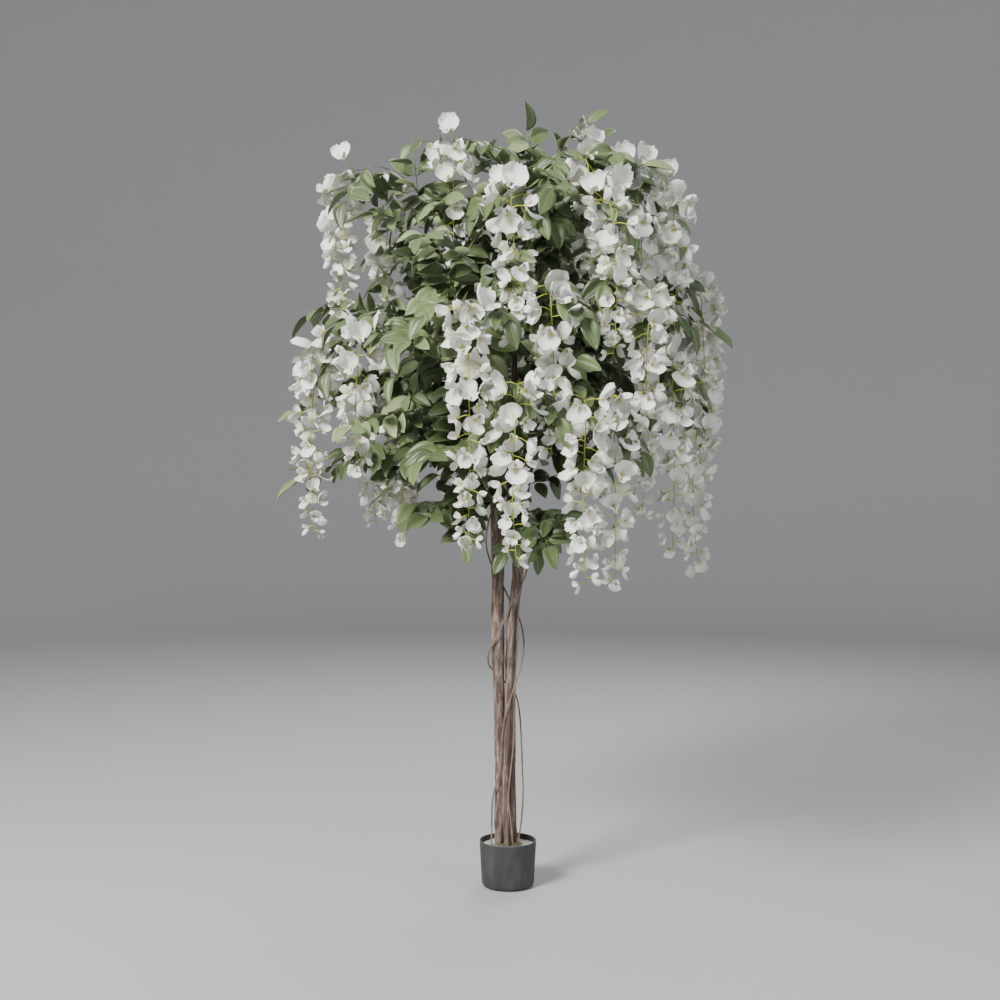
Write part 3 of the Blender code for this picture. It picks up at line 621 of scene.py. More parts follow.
class Material(Nodes):
    """A material's nodes, with its Principled shader."""

    def __init__(self, name):
        self.material = bpy.data.materials.new(name)
        self.material.use_nodes = True
        super().__init__(self.material.node_tree)
        self.shader = self.tree.nodes["Principled BSDF"]

    def bump(self, height, strength, distance):
        """A relief in the shading from this height."""
        bump = self.fed("ShaderNodeBump", Strength=strength, Distance=distance, Height=height)
        self.feed(self.shader.inputs["Normal"], bump["Normal"])

    def set(self, **values):
        """The shader's values, and then the material."""
        for key, value in values.items():
            self.feed(self.shader.inputs[key.replace("_", " ")], value)
        return self.material


def petal_material():
    """White petals: faint veins from the base, a yellow-green throat and a little unevenness."""
    n = Material("petal")
    across, up, _ = n.split(n.uv())
    white = n.ramp(n.attribute("shade"), [
        (0.0, (0.66, 0.67, 0.59)), (0.35, (0.82, 0.82, 0.76)), (1.0, (0.93, 0.93, 0.90))])
    centred = n.off_middle(across)
    fan = n.math("DIVIDE", n.math("SUBTRACT", across, 0.5), n.math("ADD", up, 0.35))
    veins = n.math("ABSOLUTE", n.math("SINE", n.math("MULTIPLY", fan, 46.0)))
    veined = n.mix(n.math("MULTIPLY", n.math("POWER", veins, 6.0), 0.12), white, (0.66, 0.67, 0.60))
    throat = n.faded((up, 2.3), (centred, 3.4))
    streak = n.faded((up, 2.0), (centred, 16.0))
    green = n.mix(n.math("MULTIPLY", throat, 0.85), veined, (0.60, 0.62, 0.13))
    tinted = n.mix(n.math("MULTIPLY", streak, 0.8), green, (0.72, 0.44, 0.07))
    keel = n.mix(n.attribute("keel"), tinted, (0.62, 0.58, 0.14))
    crinkle = n.noise(n.objects(), 190.0, 3.0, 0.6)
    n.bump(n.math("ADD", n.math("MULTIPLY", veins, 0.25), crinkle), 0.55, 0.0022)
    return n.set(Base_Color=keel, Roughness=0.62, Subsurface_Weight=0.12,
                 Subsurface_Radius=(0.004, 0.004, 0.003), Subsurface_Scale=0.5, Sheen_Weight=0.15)


def leaf_material():
    """Satin leaves, dark olive to pale sage, with a rib, side veins and a paler underside."""
    n = Material("leaf")
    across, up, _ = n.split(n.uv())
    centred = n.off_middle(across)
    green = n.ramp(n.attribute("shade"), [
        (0.0, (0.026, 0.042, 0.014)), (0.25, (0.055, 0.088, 0.030)), (0.50, (0.088, 0.134, 0.048)),
        (0.75, (0.142, 0.198, 0.078)), (1.0, (0.235, 0.295, 0.145))])
    slant = n.math("SUBTRACT", n.math("MULTIPLY", up, 30.0), n.math("MULTIPLY", centred, 26.0))
    side = n.math("POWER", n.math("ABSOLUTE", n.math("SINE", slant)), 14.0)
    rib = n.faded((centred, 26.0))
    veins = n.math("MAXIMUM", n.math("MULTIPLY", side, 0.35), rib)
    mottle = n.noise(n.objects(), 60.0, 4.0)
    uneven = n.mix(n.math("MULTIPLY", mottle, 0.35), green, (0.10, 0.13, 0.04), "SCREEN")
    veined = n.mix(n.math("MULTIPLY", veins, 0.42), uneven, (0.30, 0.36, 0.17))
    under = n.mix(n.math("MULTIPLY", n.attribute("under"), 0.55), veined, (0.17, 0.21, 0.115))
    n.bump(n.weighted((veins, -1.0), (mottle, 0.5)), 0.35, 0.0008)
    rough = n.math("ADD", n.math("MULTIPLY", n.attribute("under"), 0.25), 0.40)
    return n.set(Base_Color=under, Roughness=rough, Subsurface_Weight=0.05,
                 Subsurface_Radius=(0.002, 0.003, 0.001), Subsurface_Scale=0.3, Sheen_Weight=0.25,
                 Sheen_Roughness=0.4)


def stalk_material():
    """Yellow-green flower stalks and calyces, greener up the stalk."""
    n = Material("stalk")
    mottle = n.noise(n.objects(), 120.0, 3.0)
    fresh = n.mix(mottle, (0.46, 0.50, 0.04), (0.66, 0.64, 0.09))
    woody = n.mix(n.attribute("wood"), fresh, (0.13, 0.17, 0.06))
    n.bump(mottle, 0.2, 0.0005)
    return n.set(Base_Color=woody, Roughness=0.5)


def bark_group():
    """Fibrous bark that trunks and vines share: long streaks and strands, darker furrows, paler ridges."""
    group = bpy.data.node_groups.new("fibrous_bark", "ShaderNodeTree")
    for name in ("Map", "Place"):
        group.interface.new_socket(name, in_out="INPUT", socket_type="NodeSocketVector")
    for name in ("Dark", "Mid", "Light"):
        group.interface.new_socket(name, in_out="INPUT", socket_type="NodeSocketColor")
    group.interface.new_socket("Color", in_out="OUTPUT", socket_type="NodeSocketColor")
    group.interface.new_socket("Height", in_out="OUTPUT", socket_type="NodeSocketFloat")
    n = Nodes(group)
    given, result = n.add("NodeGroupInput").outputs, n.add("NodeGroupOutput").inputs
    streaks = n.noise(given["Map"], 9.0, 6.0, 0.68, (1.0, 0.20, 1.0))
    strands = n.noise(given["Map"], 34.0, 4.0, 0.65, (2.4, 0.30, 1.0))
    patches = n.noise(given["Place"], 26.0, 3.0)
    fine = n.noise(given["Place"], 700.0, 2.0)
    mixed = n.weighted((strands, 0.25), (patches, 0.20), (streaks, 0.55))
    low, high = (n.math("DIVIDE", n.math("SUBTRACT", mixed, start), 0.11, clamp=True)
                 for start in (0.38, 0.49))
    n.feed(result["Color"], n.mix(high, n.mix(low, given["Dark"], given["Mid"]), given["Light"]))
    n.feed(result["Height"], n.math("ADD", mixed, n.math("MULTIPLY", fine, 0.15)))
    return group


def bark_material(name, group, **colours):
    """One stem's bark, with its own three colours."""
    n = Material(name)
    bark = n.add("ShaderNodeGroup", node_tree=group)
    for key, value in {"Map": n.uv(), "Place": n.objects(), **colours}.items():
        n.feed(bark.inputs[key], value)
    n.bump(bark.outputs["Height"], 0.9, 0.0045)
    return n.set(Base_Color=bark.outputs["Color"], Roughness=0.88)


def moss_material():
    """Dull olive moss, clumped and fine-grained."""
    n = Material("moss")
    clumps = n.noise(n.objects(), 130.0, 4.0)
    fine = n.noise(n.objects(), 1100.0, 3.0)
    both = n.weighted((clumps, 0.6), (fine, 0.4))
    colour = n.ramp(both, [
        (0.35, (0.030, 0.028, 0.010)), (0.5, (0.090, 0.085, 0.030)), (0.68, (0.190, 0.180, 0.075))])
    n.bump(both, 0.9, 0.0025)
    return n.set(Base_Color=colour, Roughness=1.0, Sheen_Weight=0.3)


def fill_material():
    """Pale set filling: fine grains, a few darker specks and shallow pits."""
    n = Material("fill")
    grain = n.noise(n.objects(), 800.0, 4.0, 0.7)
    blotch = n.noise(n.objects(), 60.0, 3.0)
    mixed = n.weighted((grain, 0.5), (blotch, 0.5))
    colour = n.ramp(mixed, [
        (0.30, (0.26, 0.25, 0.21)), (0.48, (0.42, 0.41, 0.36)), (0.65, (0.56, 0.55, 0.50))])
    n.bump(mixed, 0.7, 0.0015)
    return n.set(Base_Color=colour, Roughness=0.95)


def pot_material():
    """Charcoal moulded plastic with a fine grain and dusty streaks, and a painted highlight that makes the
    top of the lip a little paler.
    """
    n = Material("pot")
    _, _, height = n.split(n.objects())
    dust = n.noise(n.objects(), 34.0, 5.0, 0.6, (1.0, 1.0, 0.45))
    fine = n.noise(n.objects(), 1500.0, 2.0)
    colour = n.ramp(dust, [
        (0.35, (0.030, 0.031, 0.033)), (0.55, (0.046, 0.047, 0.050)), (0.75, (0.070, 0.071, 0.073))])
    # Painted highlight: the top of the lip, where light from above falls, is mixed half way to a pale grey
    lip = n.math("MULTIPLY", n.math("GREATER_THAN", height, POT_HEIGHT - 0.0012), 0.5)
    painted_lip_highlight = n.mix(lip, colour, (0.16, 0.16, 0.155))
    n.bump(n.math("ADD", fine, n.math("MULTIPLY", dust, 0.5)), 0.25, 0.0006)
    rough = n.math("ADD", n.math("MULTIPLY", dust, 0.25), 0.50)
    return n.set(Base_Color=painted_lip_highlight, Roughness=rough)


# Shared shapes


def grid(bm, across, up):
    """A flat grid with its map, from 0 to 1 both ways, and its vertices with their map values."""
    layer = bm.loops.layers.uv["map"]
    verts = bmesh.ops.create_grid(bm, x_segments=across, y_segments=up, size=0.5)["verts"]
    values = {vert: (vert.co.x + 0.5, vert.co.y + 0.5) for vert in verts}
    for face in {face for vert in verts for face in vert.link_faces}:
        for loop in face.loops:
            loop[layer].uv = values[loop.vert]
    return values


def petal(bm, across, up, width, height, cup, forward, droop=0.0, notch=0.0, ruffle=0.0, phase=0.0):
    """One petal from its base at the origin: it rises along Y, opens along Z and spreads along X."""
    values = grid(bm, across, up)
    for vert, (a, v) in values.items():
        u = 2 * a - 1
        wide = math.sin(math.pi * (0.12 + 0.60 * v)) ** 0.75
        scallop = ruffle * (0.9 * math.sin(9.0 * u + phase) + 0.5 * math.sin(21.0 * u + phase * 3))
        long = 1 - notch * math.exp(-((u / 0.20) ** 2)) - 0.24 * abs(u) ** 3.5 + scallop
        x = width / 2 * u * wide
        y = height * math.sin(v * long * 1.35) / math.sin(1.35)
        z = forward * height * (1 - math.cos(v * long * 1.5))
        edge = abs(u) ** 1.7
        y -= droop * width * edge * (0.3 + 0.7 * v)
        z += cup * width * edge * (0.4 + 0.6 * v)
        wave = math.sin(7.0 * u + phase) * math.cos(5.0 * v + phase * 1.7)
        frill = math.sin(15.0 * u + phase * 2.3) * max(v, abs(u)) ** 3
        z += ruffle * width * (wave * (abs(u) * 0.6 + v) * 0.6 + 0.7 * frill)
        vert.co = (x, y, z)
    return list(values)


def tag(bm, verts, name, value):
    """One value for all these vertices in a layer of numbers."""
    layer = bm.verts.layers.float[name]
    for vert in verts:
        vert[layer] = value


def floret_template(number):
    """One open floret about its calyx: the broad standard, two wings and the keel between them."""
    draw = random.Random(PETAL_SEED + number)
    bm = empty("shade", "keel")
    opened = draw.uniform(0.0, 1.0)
    petal(bm, 12, 7, width=FLORET_WIDTH, height=FLORET_WIDTH * draw.uniform(0.60, 0.76),
          cup=0.10 + 0.22 * (1 - opened), droop=0.06 + 0.12 * opened, forward=0.30 + 0.45 * opened,
          notch=draw.uniform(0.05, 0.16), ruffle=draw.uniform(0.045, 0.08), phase=draw.uniform(0, 6))
    for side in (-1, 1):
        verts = petal(bm, 5, 4, width=FLORET_WIDTH * 0.44, height=FLORET_WIDTH * draw.uniform(0.38, 0.50),
                      cup=0.25, forward=0.45, ruffle=0.07, phase=draw.uniform(0, 6))
        lean = (Matrix.Rotation(side * draw.uniform(0.7, 1.1), 4, "Z")
                @ Matrix.Rotation(draw.uniform(1.2, 1.7), 4, "X"))
        place = Matrix.Translation((side * 0.003, -0.002, 0.002)) @ lean
        bmesh.ops.transform(bm, matrix=place, verts=verts)
    verts = petal(bm, 3, 4, width=FLORET_WIDTH * 0.16, height=FLORET_WIDTH * 0.30, cup=0.30, forward=0.4)
    bmesh.ops.transform(bm, matrix=Matrix.Rotation(1.5, 4, "X"), verts=verts)
    tag(bm, verts, "keel", 0.7)
    return template(bm, f"floret_shape_{number}")


def leaf_template(number):
    """One leaf along Y from its stalk: pointed oval, folded along its rib, a little waved, 0.5 mm thick."""
    draw = random.Random(LEAF_SEED + number)
    bm = empty("shade", "under")
    fold, arch, twist = draw.uniform(0.10, 0.34), draw.uniform(0.03, 0.16), draw.uniform(-0.25, 0.25)
    wave, phase = draw.uniform(0.010, 0.030), draw.uniform(0, 6)
    values = grid(bm, 4, 8)
    for vert, (a, v) in values.items():
        u = 2 * a - 1
        wide = max(0.0, math.sin(math.pi * v**0.88)) ** 0.72 * (1 - 0.12 * v) + 0.03 * (1 - v)
        x = u * wide / 2
        z = fold * abs(x) * 1.2 - arch * (v - 0.25) ** 2 * 1.4 + wave * math.sin(9 * v + phase) * abs(u)
        turn = twist * v
        vert.co = (x * math.cos(turn) * LEAF_SHARE, v, z + x * math.sin(turn) * LEAF_SHARE)
    bmesh.ops.solidify(bm, geom=bm.faces[:], thickness=0.008)
    bm.normal_update()
    tag(bm, [vert for vert in bm.verts if vert.normal.z < -0.1], "under", 1.0)
    return template(bm, f"leaf_shape_{number}")


def template(bm, name):
    """A shape that is shared by many florets or leaves."""
    bmesh.ops.remove_doubles(bm, verts=bm.verts, dist=1e-6)
    return mesh_of(bm, name)


def stamp(bm, mesh, place, shade):
    """One copy of a shared shape, put in place and given its own shade."""
    start = len(bm.verts)
    bm.from_mesh(mesh)
    bm.verts.ensure_lookup_table()
    verts = bm.verts[start:]
    tag(bm, verts, "shade", shade)
    bmesh.ops.transform(bm, matrix=place, verts=verts)


def tube(bm, route, radii, sides, wobble=None):
    """A tube with its map along it. wobble gives the radius a factor by turn and reach."""
    layer = bm.loops.layers.uv["map"]
    frames = ring_frames(route, radii)
    verts = bmesh.ops.create_cone(bm, cap_ends=True, segments=sides, radius1=1, radius2=1, depth=2)["verts"]
    cap = max({face for vert in verts for face in vert.link_faces},
              key=lambda face: (len(face.verts) == sides) * (1 + face.calc_center_median().z))
    rings = [[vert for vert in verts if vert.co.z < 0], [vert for vert in verts if vert.co.z > 0]]
    turns = {vert: math.atan2(vert.co.y, vert.co.x) for vert in verts}
    for ring, rows in zip(rings, frames):
        for vert in ring:
            vert.co = rows @ Vector((vert.co.x, vert.co.y, 0))
    for low, high in zip(frames[1:], frames[2:]):
        old = [turns[vert] for vert in cap.verts]
        cap = bmesh.ops.extrude_discrete_faces(bm, faces=[cap])["faces"][0]
        turns.update(zip(cap.verts, old))
        bmesh.ops.transform(bm, matrix=high @ low.inverted(), verts=cap.verts)
        rings.append(list(cap.verts))
    level = {}
    for ring, centre, reach in zip(rings, route, reaches(route)):
        for vert in ring:
            level[vert] = reach
            if wobble:
                vert.co = centre + (vert.co - centre) * wobble(turns[vert], reach, centre)
    for face in {face for vert in level for face in vert.link_faces}:
        over_seam = max(turns[vert] for vert in face.verts) > SEAM_TURN
        for loop in face.loops:
            turn = turns[loop.vert] / math.tau
            if turn < 0 and over_seam:
                turn += 1
            loop[layer].uv = (turn, level[loop.vert] * MAP_ALONG)
    return list(level)


# Florets and leaves in place


def tapered(route, root, loss):
    """Radii along a stem that starts with this one and loses this much by its tip."""
    last = len(route) - 1
    return [root - loss * k / last for k in range(last + 1)]


def stalk(bm, route, radii, sides, wood):
    """A green stem, with how woody its colour is."""
    tag(bm, tube(bm, route, radii, sides), "wood", wood)


def placing(centre, face, up_hint, scale):
    """A matrix that sets a shared shape at a centre, with Z along face and Y near up_hint."""
    return axes_at(centre, *(axis * scale for axis in basis(face, up_hint)))


def floret_spot(name, rooms, point, turn, lift, reach, size):
    """The way out and the centre of a floret that keeps to its raceme's room, if there is one."""
    for shrink in SHRINKS:
        for shift in FLORET_TURNS:
            angle = turn + math.radians(shift)
            out = Vector((math.cos(angle), math.sin(angle), 0))
            way = (out + UP * lift).normalized()
            centre = point + way * reach * shrink
            if rooms.holds(name, [centre, centre + way * size * 0.016]):
                return out, centre
    return None


def build_raceme(number, rooms, shapes, petals, stalks):
    """A raceme's petals and, as a second piece, its stalk, pedicels and calyces."""
    name = raceme_name(number)
    raceme = RACEMES[number - 1]
    draw = random.Random(RACEME_SEED + number)
    route = raceme_route(raceme)
    lengths = reaches(route)
    flowers, green = empty("shade", "keel"), empty("wood")
    smooth = smooth_route(route[::2], 2)
    stalk(green, smooth, tapered(smooth, *RACEME_STALK), 6, 0.55)
    count = round(lengths[-1] / FLORET_SPACING)
    turn = draw.uniform(0, math.tau)
    for k in range(count):
        share = (k + 0.25) / count
        point = along(route, lengths, share * lengths[-1])
        turn += math.radians(137.5) + draw.uniform(-0.3, 0.3)
        size = (1 - (1 - TIP_SHARE) * share**1.3) * draw.uniform(0.88, 1.10)
        reach = (PEDICEL[0] + (PEDICEL[1] - PEDICEL[0]) * share) * draw.uniform(0.85, 1.15)
        lift = draw.uniform(-0.45, 0.35)
        upright = raceme.top > UPRIGHT_ABOVE and k < 2
        if upright:
            lift = draw.uniform(0.5, 1.0)
        spot = floret_spot(name, rooms, point, turn, lift, reach, size)
        if not spot:
            continue
        out, centre = spot
        stray = Vector((draw.uniform(-0.4, 0.4), draw.uniform(-0.4, 0.4), 0))
        face = out * 0.9 + UP * draw.uniform(-0.45, 0.55) + stray
        hint = (DOWN if draw.random() < HANGING else UP) + Vector((stray.y, -stray.x, 0))
        if upright:
            face, hint = out * 0.6 + UP * 0.3 + Vector((0, -0.6, 0)), UP + stray
        face.normalize()
        stamp(flowers, draw.choice(shapes), placing(centre, face, hint, size), draw.uniform(0.1, 1.0))
        middle = (point + centre) / 2 + UP * reach * 0.07
        stalk(green, [point, middle, centre], PEDICEL_RADII, 5, 0.0)
        calyx = bmesh.ops.create_cone(green, cap_ends=True, segments=6, radius1=0.0011 * size + 0.0004,
                                      radius2=0.0036 * size, depth=CALYX_LENGTH,
                                      matrix=placing(centre, face, UP, 1.0))["verts"]
        tag(green, calyx, "wood", 0.15)
    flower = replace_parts(piece(flowers, f"{name}_petals", petals), name)
    piece(green, f"{name}_stalk", stalks)


class Foliage:
    """Leaves in one mesh and their stems in another. With rooms, leaves keep to the named stem's."""

    def __init__(self, seed, shapes, name=None, rooms=None):
        self.draw = random.Random(seed)
        self.shapes, self.name, self.rooms = shapes, name, rooms
        self.leaves, self.green = empty("shade", "under"), empty("wood")

    def spot(self, point, ahead, sign, size):
        """The way, the foot and the size of a leaf that finds room, if there is one."""
        side, _, _ = basis(ahead, UP)
        for shrink in SHRINKS:
            for roll in LEAF_TURNS:
                tilt = math.radians(roll) + self.draw.uniform(-0.2, 0.2)
                out = (Matrix.Rotation(tilt, 3, ahead) @ side) * sign
                fall = DOWN * self.draw.uniform(-0.15, 0.9)
                way = (out * 0.85 + ahead * (0.45 if sign else 1.2) + fall).normalized()
                base = point + way * 0.005
                tip = base + way * size * shrink
                if not self.rooms or self.rooms.holds(self.name, [base.lerp(tip, 0.6), tip]):
                    return way, base, size * shrink
        return None

    def leaf(self, way, base, size, shade):
        """One leaf along this way, its face turned to the sky, outwards and to the light."""
        draw = self.draw
        sky = UP * draw.uniform(0.3, 0.9)
        sky += Vector((base.x, base.y, 0)).normalized() * draw.uniform(0.2, 1.0)
        sky += TO_LIGHT
        top = (sky - way * sky.dot(way)).normalized()
        lean = Matrix.Rotation(draw.uniform(-0.4, 0.4), 3, way) @ top
        across = way.cross(lean).normalized()
        place = axes_at(base, across * size, way * size, across.cross(way) * size)
        tone = min(1.0, max(0.0, shade + draw.gauss(0, 0.22)))
        stamp(self.leaves, draw.choice(self.shapes), place, tone)

    def spray(self, route, spacing, start, shade):
        """Leaves along a stem in near pairs, and one at its end."""
        lengths = reaches(route)
        length = lengths[-1]
        count = max(2, round(length * (1 - start) / spacing))
        spots = [(length * (start + (1 - start) * (k + 0.1) / count), sign)
                 for k in range(count) for sign in (1, -1)]
        for reach, sign in [*spots, (length, 0)]:
            reach = min(max(reach + self.draw.uniform(-0.006, 0.006), 0.003), length)
            point = along(route, lengths, reach)
            behind = along(route, lengths, max(reach - 0.006, 0))
            ahead = (along(route, lengths, min(reach + 0.004, length)) - behind).normalized()
            found = self.spot(point, ahead, sign, self.draw.uniform(*LEAF_LENGTH))
            if found:
                self.leaf(*found, shade)
                way, base, _ = found
                stalk(self.green, [point, base + way * 0.001], PETIOLE_RADII, 4, 0.7)

    def shoots(self, route, count, last):
        """Short shoots along a stem, as far as this share of it. Their leaves close the crown."""
        made = []
        fine = even(route, 40)
        for step in range(count):
            spot = round(6 + (last * 40 - 6) * step / (count - 1))
            start = fine[spot]
            ahead = (fine[spot + 1] - start).normalized()
            side, up, _ = basis(ahead, UP)
            turn = step * 2.4 + self.draw.uniform(-0.5, 0.5)
            out = side * math.cos(turn) + up * math.sin(turn) * 0.7
            way = (out * 0.9 + ahead * 0.5 + DOWN * self.draw.uniform(-0.2, 0.4)).normalized()
            span = self.draw.uniform(*SHOOT_LENGTH)
            end = start + way * span
            made.append(bezier(start, start + way * span * 0.4 + UP * 0.012, end + UP * 0.012, end, 6))
        return made

    def leafy_shoot(self, route, shade):
        """One side shoot with its leaves."""
        stalk(self.green, route, [SHOOT_RADIUS] * len(route), 4, 0.9)
        self.spray(route, SHOOT_LEAVES, 0.1, shade)


def build_leafy(number, route, rooms, shapes, leaves, stalks, shade):
    """A leafy stem: its leaves, and its stem and leaf stalks. The first is the top tuft, without shoots."""
    name = leafy_name(number)
    plant = Foliage(STEM_SEED + number, shapes, name, rooms)
    stalk(plant.green, route, tapered(route, *LEAFY_STALK), 6, 0.9)
    plant.spray(route, STEM_LEAVES, 0.22, shade)
    for shoot in plant.shoots(route, STEM_SHOOTS, 0.66) if number > 1 else []:
        plant.leafy_shoot(shoot, shade * plant.draw.uniform(0.5, 1.0))
    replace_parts(piece(plant.leaves, f"{name}_leaves", leaves), name)
    piece(plant.green, f"{name}_stem", stalks)


def build_inner(number, raceme, shapes, leaves, stalks):
    """The side shoots of one twig: their leaves and their stems."""
    plant = Foliage(TWIG_SEED + number, shapes)
    _, twig = twig_route(raceme)
    for shoot in plant.shoots(twig, TWIG_SHOOTS, 0.95):
        plant.leafy_shoot(shoot, plant.draw.uniform(0.15, 0.75))
    piece(plant.leaves, f"inner_leaves_{number:02d}", leaves)
    piece(plant.green, f"inner_stems_{number:02d}", stalks)


def fibre(scale, depth, seed):
    """How a woody stem's radius changes by turn and reach: long ridges that wind slowly round it."""
    def wobble(turn, reach, centre):
        wound = turn + reach * 5.0
        ridges = noise.noise(Vector((math.cos(wound) * 2.4, math.sin(wound) * 2.4, reach * 9 + seed)))
        fine = noise.noise(Vector((math.cos(wound) * 7.0, math.sin(wound) * 7.0, reach * 22 + seed)))
        lumps = noise.noise(centre * 16 + Vector((seed, 0, 0)))
        return 1 + depth * (ridges * 0.6 + fine * 0.45) + scale * lumps
    return wobble


def build_trunk(number, name, rows, twigs, bark):
    """A trunk with its leader, and every twig that grows from it."""
    bm = empty()
    smooth = smooth_route(rows, 14)
    tube(bm, [Vector(row[:3]) for row in smooth], [row[3] for row in smooth], 28,
         fibre(0.05, 0.26, number * 7.3))
    for k, route in enumerate(twigs):
        fine = smooth_route(route, 5)
        shares = [(j / (len(fine) - 1)) ** 0.6 for j in range(len(fine))]
        radii = [(TWIG_ROOT + (TWIG_TIP - TWIG_ROOT) * share) * TWIG_SLIM for share in shares]
        tube(bm, fine, radii, 8, fibre(0.15, 0.2, number * 3.1 + k))
    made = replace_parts(piece(bm, f"{name}_bark", bark), name)


def vine_route(points, steps):
    """A vine's route, moved out wherever it would touch a trunk."""
    route = [Vector(points[0]), *smooth_route(points[1:], steps)]
    for _ in range(6):
        for point in route:
            for name in TRUNKS:
                centre, radius = at_height(name, point.z)
                away = (point - centre).xy
                least = radius + VINE_RADIUS + VINE_ROOM
                if away.length < least:
                    point.xy = centre.xy + away.normalized() * least
    return route


def build_vine(number, name, points, bark):
    """A thin vine wound about the trunks."""
    bm = empty()
    route = vine_route(points, 8)
    tube(bm, route, [VINE_RADIUS * 0.92] * len(route), 10, fibre(0.16, 0.16, number * 5.7))
    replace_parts(piece(bm, f"{name}_stem", bark), name)


def turned(bm, profile, steps):
    """A shape turned about the vertical axis from its outline."""
    verts = [bm.verts.new((r, 0, z)) for r, z in profile]
    edges = [bm.edges.new(pair) for pair in zip(verts, verts[1:])]
    bmesh.ops.spin(bm, geom=verts + edges, cent=(0, 0, 0), axis=(0, 0, 1), angle=math.tau,
                   steps=steps, use_merge=True)
    bmesh.ops.remove_doubles(bm, verts=bm.verts, dist=1e-5)
    bmesh.ops.recalc_face_normals(bm, faces=bm.faces)


def arc(cx, cz, radius, start, end, steps):
    """Points of an outline along an arc, its angles in degrees from straight out."""
    turns = [math.radians(start + (end - start) * k / steps) for k in range(steps + 1)]
    return [(cx + radius * math.cos(t), cz + radius * math.sin(t)) for t in turns]


def build_pot(material):
    """The pot's thin wall with its round lip and foot, open at the top."""
    bm = bmesh.new()
    foot, lip = POT_FOOT_ROUND, POT_WALL / 2
    inside = [(0, POT_WALL), (POT_BASE_RADIUS - POT_WALL, POT_WALL)]
    rim = arc(POT_RADIUS - lip, POT_HEIGHT - lip, lip, 180, 0, 8)
    wall = [(POT_RADIUS - LIP_STEP - (POT_RADIUS - POT_BASE_RADIUS) * k / 8,
             POT_HEIGHT - LIP_HEIGHT - (POT_HEIGHT - LIP_HEIGHT - foot) * k / 8) for k in range(8)]
    turned(bm, [*inside, *rim, *wall, *arc(POT_BASE_RADIUS - foot, foot, foot, 0, -90, 10), (0, 0)], 128)
    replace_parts(piece(bm, "pot_body", material), "pot")


def build_fill(material):
    """The fill's face, fine-grained and a little uneven, with its rough edge by the wall."""
    bm = bmesh.new()
    edge = POT_BASE_RADIUS - POT_WALL + (POT_RADIUS - POT_BASE_RADIUS) * FILL_SHARE - 2 * GAP
    low = FILL_TOP - FILL_DEPTH
    rings = [(edge * (k / 26), FILL_TOP) for k in range(27)]
    turned(bm, [*rings, (edge, FILL_TOP - FILL_EDGE), (edge - FILL_EDGE, low), (0, low)], 120)
    for vert in bm.verts:
        if vert.co.z > FILL_TOP - FILL_EDGE / 2:
            vert.co.z += 0.0012 * noise.noise(vert.co * 90) + 0.0005 * noise.noise(vert.co * 420)
    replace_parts(piece(bm, "fill_face", material), "potting_fill")


def moss_edge(turn):
    """The share of its full radius that the moss reaches in this direction."""
    return 0.80 + 0.22 * noise.noise(Vector((math.cos(turn) * 2, math.sin(turn) * 2, 3)))


def moss_dome(share):
    """The cushion's height at this share of its radius."""
    return MOSS_HEIGHT * max(0.0, 1 - share**2.6)


def build_moss(material):
    """A low cushion of moss with a ragged edge, and short tufts all over it."""
    bm = bmesh.new()
    rings = [(MOSS_RADIUS * k / 22, 0) for k in range(23)]
    turned(bm, [*rings, (MOSS_RADIUS * 0.9, -MOSS_SKIRT), (0, -MOSS_SKIRT)], 90)
    base = FILL_TOP + MOSS_LIFT
    for vert in bm.verts:
        turn = math.atan2(vert.co.y, vert.co.x)
        height = moss_dome(vert.co.xy.length / MOSS_RADIUS) * (0.72 + 0.5 * noise.noise(vert.co * 110))
        vert.co.xy *= moss_edge(turn)
        vert.co.z += base + (height if vert.co.z > -MOSS_SKIRT / 2 else 0)
    draw = random.Random(MOSS_SEED)
    for _ in range(MOSS_TUFTS):
        turn, r = draw.uniform(0, math.tau), MOSS_RADIUS * 0.86 * math.sqrt(draw.random())
        ragged = moss_edge(turn)
        spot = Vector((r * ragged * math.cos(turn), r * ragged * math.sin(turn), base))
        spot.z += moss_dome(r / MOSS_RADIUS) * 0.7
        lean = Vector((draw.uniform(-0.6, 0.6), draw.uniform(-0.6, 0.6), 1)).normalized()
        bmesh.ops.create_cone(bm, cap_ends=False, segments=3, radius1=0.0007, radius2=0.00005,
                              depth=draw.uniform(0.0022, 0.0042),
                              matrix=placing(spot, lean, Vector((1, 0, 0)), 1.0))
    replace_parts(piece(bm, "moss_cushion", material), "moss")


# The whole plant


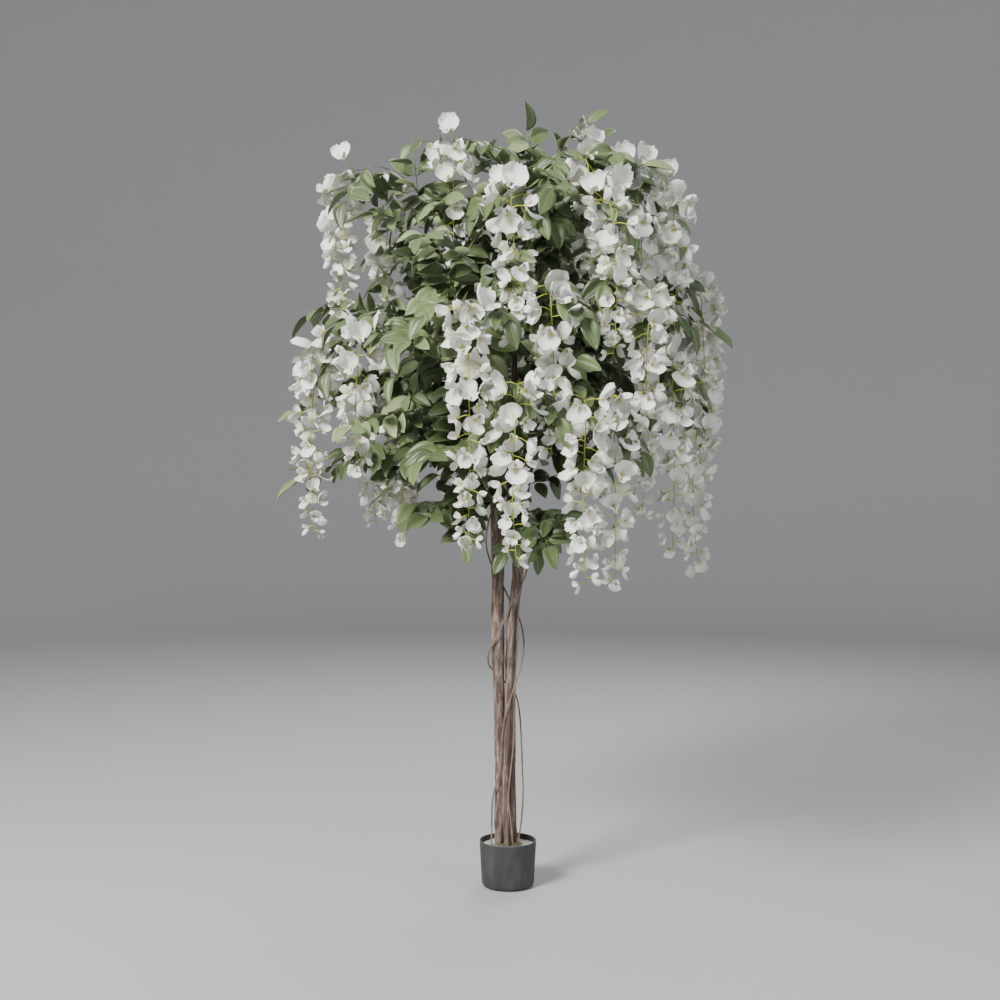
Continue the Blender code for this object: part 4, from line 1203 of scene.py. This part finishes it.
def stage():
    """The floor, the lamps, the light from all round and the picture's camera."""
    world = bpy.data.worlds.new("studio")
    bpy.context.scene.world = world
    world.use_nodes = True
    sky = world.node_tree.nodes["Background"].inputs
    sky["Color"].default_value = (*SKY_COLOUR, 1)
    sky["Strength"].default_value = SKY_STRENGTH
    bm = bmesh.new()
    turned(bm, [(0.0, 0.0), (FLOOR_RADIUS, 0.0), *arc(FLOOR_RADIUS, SWEEP_ROUND, SWEEP_ROUND, -90, 0, 16),
                (FLOOR_RADIUS + SWEEP_ROUND, SWEEP_HEIGHT)], 96)
    floor = solid(bm, "floor", Material("floor").set(Base_Color=(0.46, 0.46, 0.465), Roughness=0.9))
    for name, (place, width, power, colour) in LAMPS.items():
        data = bpy.data.lights.new(name, "AREA")
        data.shape = "DISK"
        data.size, data.energy, data.color = width, power, colour
        light = add_object(name, data)
        light.location = place
        light.rotation_euler = (LIT_POINT - Vector(place)).to_track_quat("-Z", "Y").to_euler()
    data = bpy.data.cameras.new("camera")
    data.lens, data.sensor_width = LENS, SENSOR
    camera = add_object("camera", data)
    camera.location = CAMERA_PLACE
    camera.rotation_euler = (math.pi / 2, 0, 0)
    bpy.context.scene.camera = camera


def main():
    """The stage, and the plant from its pot up."""
    stage()
    petals, leaves, stalks = petal_material(), leaf_material(), stalk_material()
    fibrous = bark_group()
    bark = bark_material("bark", fibrous, Dark=(0.042, 0.026, 0.020), Mid=(0.145, 0.097, 0.076),
                         Light=(0.430, 0.350, 0.300))
    vine_bark = bark_material("vine_bark", fibrous, Dark=(0.080, 0.052, 0.038), Mid=(0.240, 0.172, 0.130),
                              Light=(0.430, 0.340, 0.275))
    flower_shapes = [floret_template(k) for k in range(PETAL_SHAPES)]
    leaf_shapes = [leaf_template(k) for k in range(LEAF_SHAPES)]
    stems = all_stems()
    rooms = Rooms(stems)
    build_pot(pot_material())
    build_fill(fill_material())
    build_moss(moss_material())
    twigs = [twig_route(raceme) for raceme in RACEMES]
    for number, (name, rows) in enumerate(TRUNKS.items()):
        build_trunk(number, name, rows, [route for leader, route in twigs if leader == name], bark)
    for number, (name, points) in enumerate(VINES.items()):
        build_vine(number, name, points, vine_bark)
    for number in range(1, len(RACEMES) + 1):
        build_raceme(number, rooms, flower_shapes, petals, stalks)
    routes = dict(stems)
    draw = random.Random(SHADE_SEED)
    for number in range(1, len(LEAFY_STEMS) + 1):
        build_leafy(number, routes[leafy_name(number)], rooms, leaf_shapes, leaves, stalks,
                    draw.uniform(0.25, 0.75))
    for number, raceme in enumerate(RACEMES, 1):
        build_inner(number, raceme, leaf_shapes, leaves, stalks)


main()
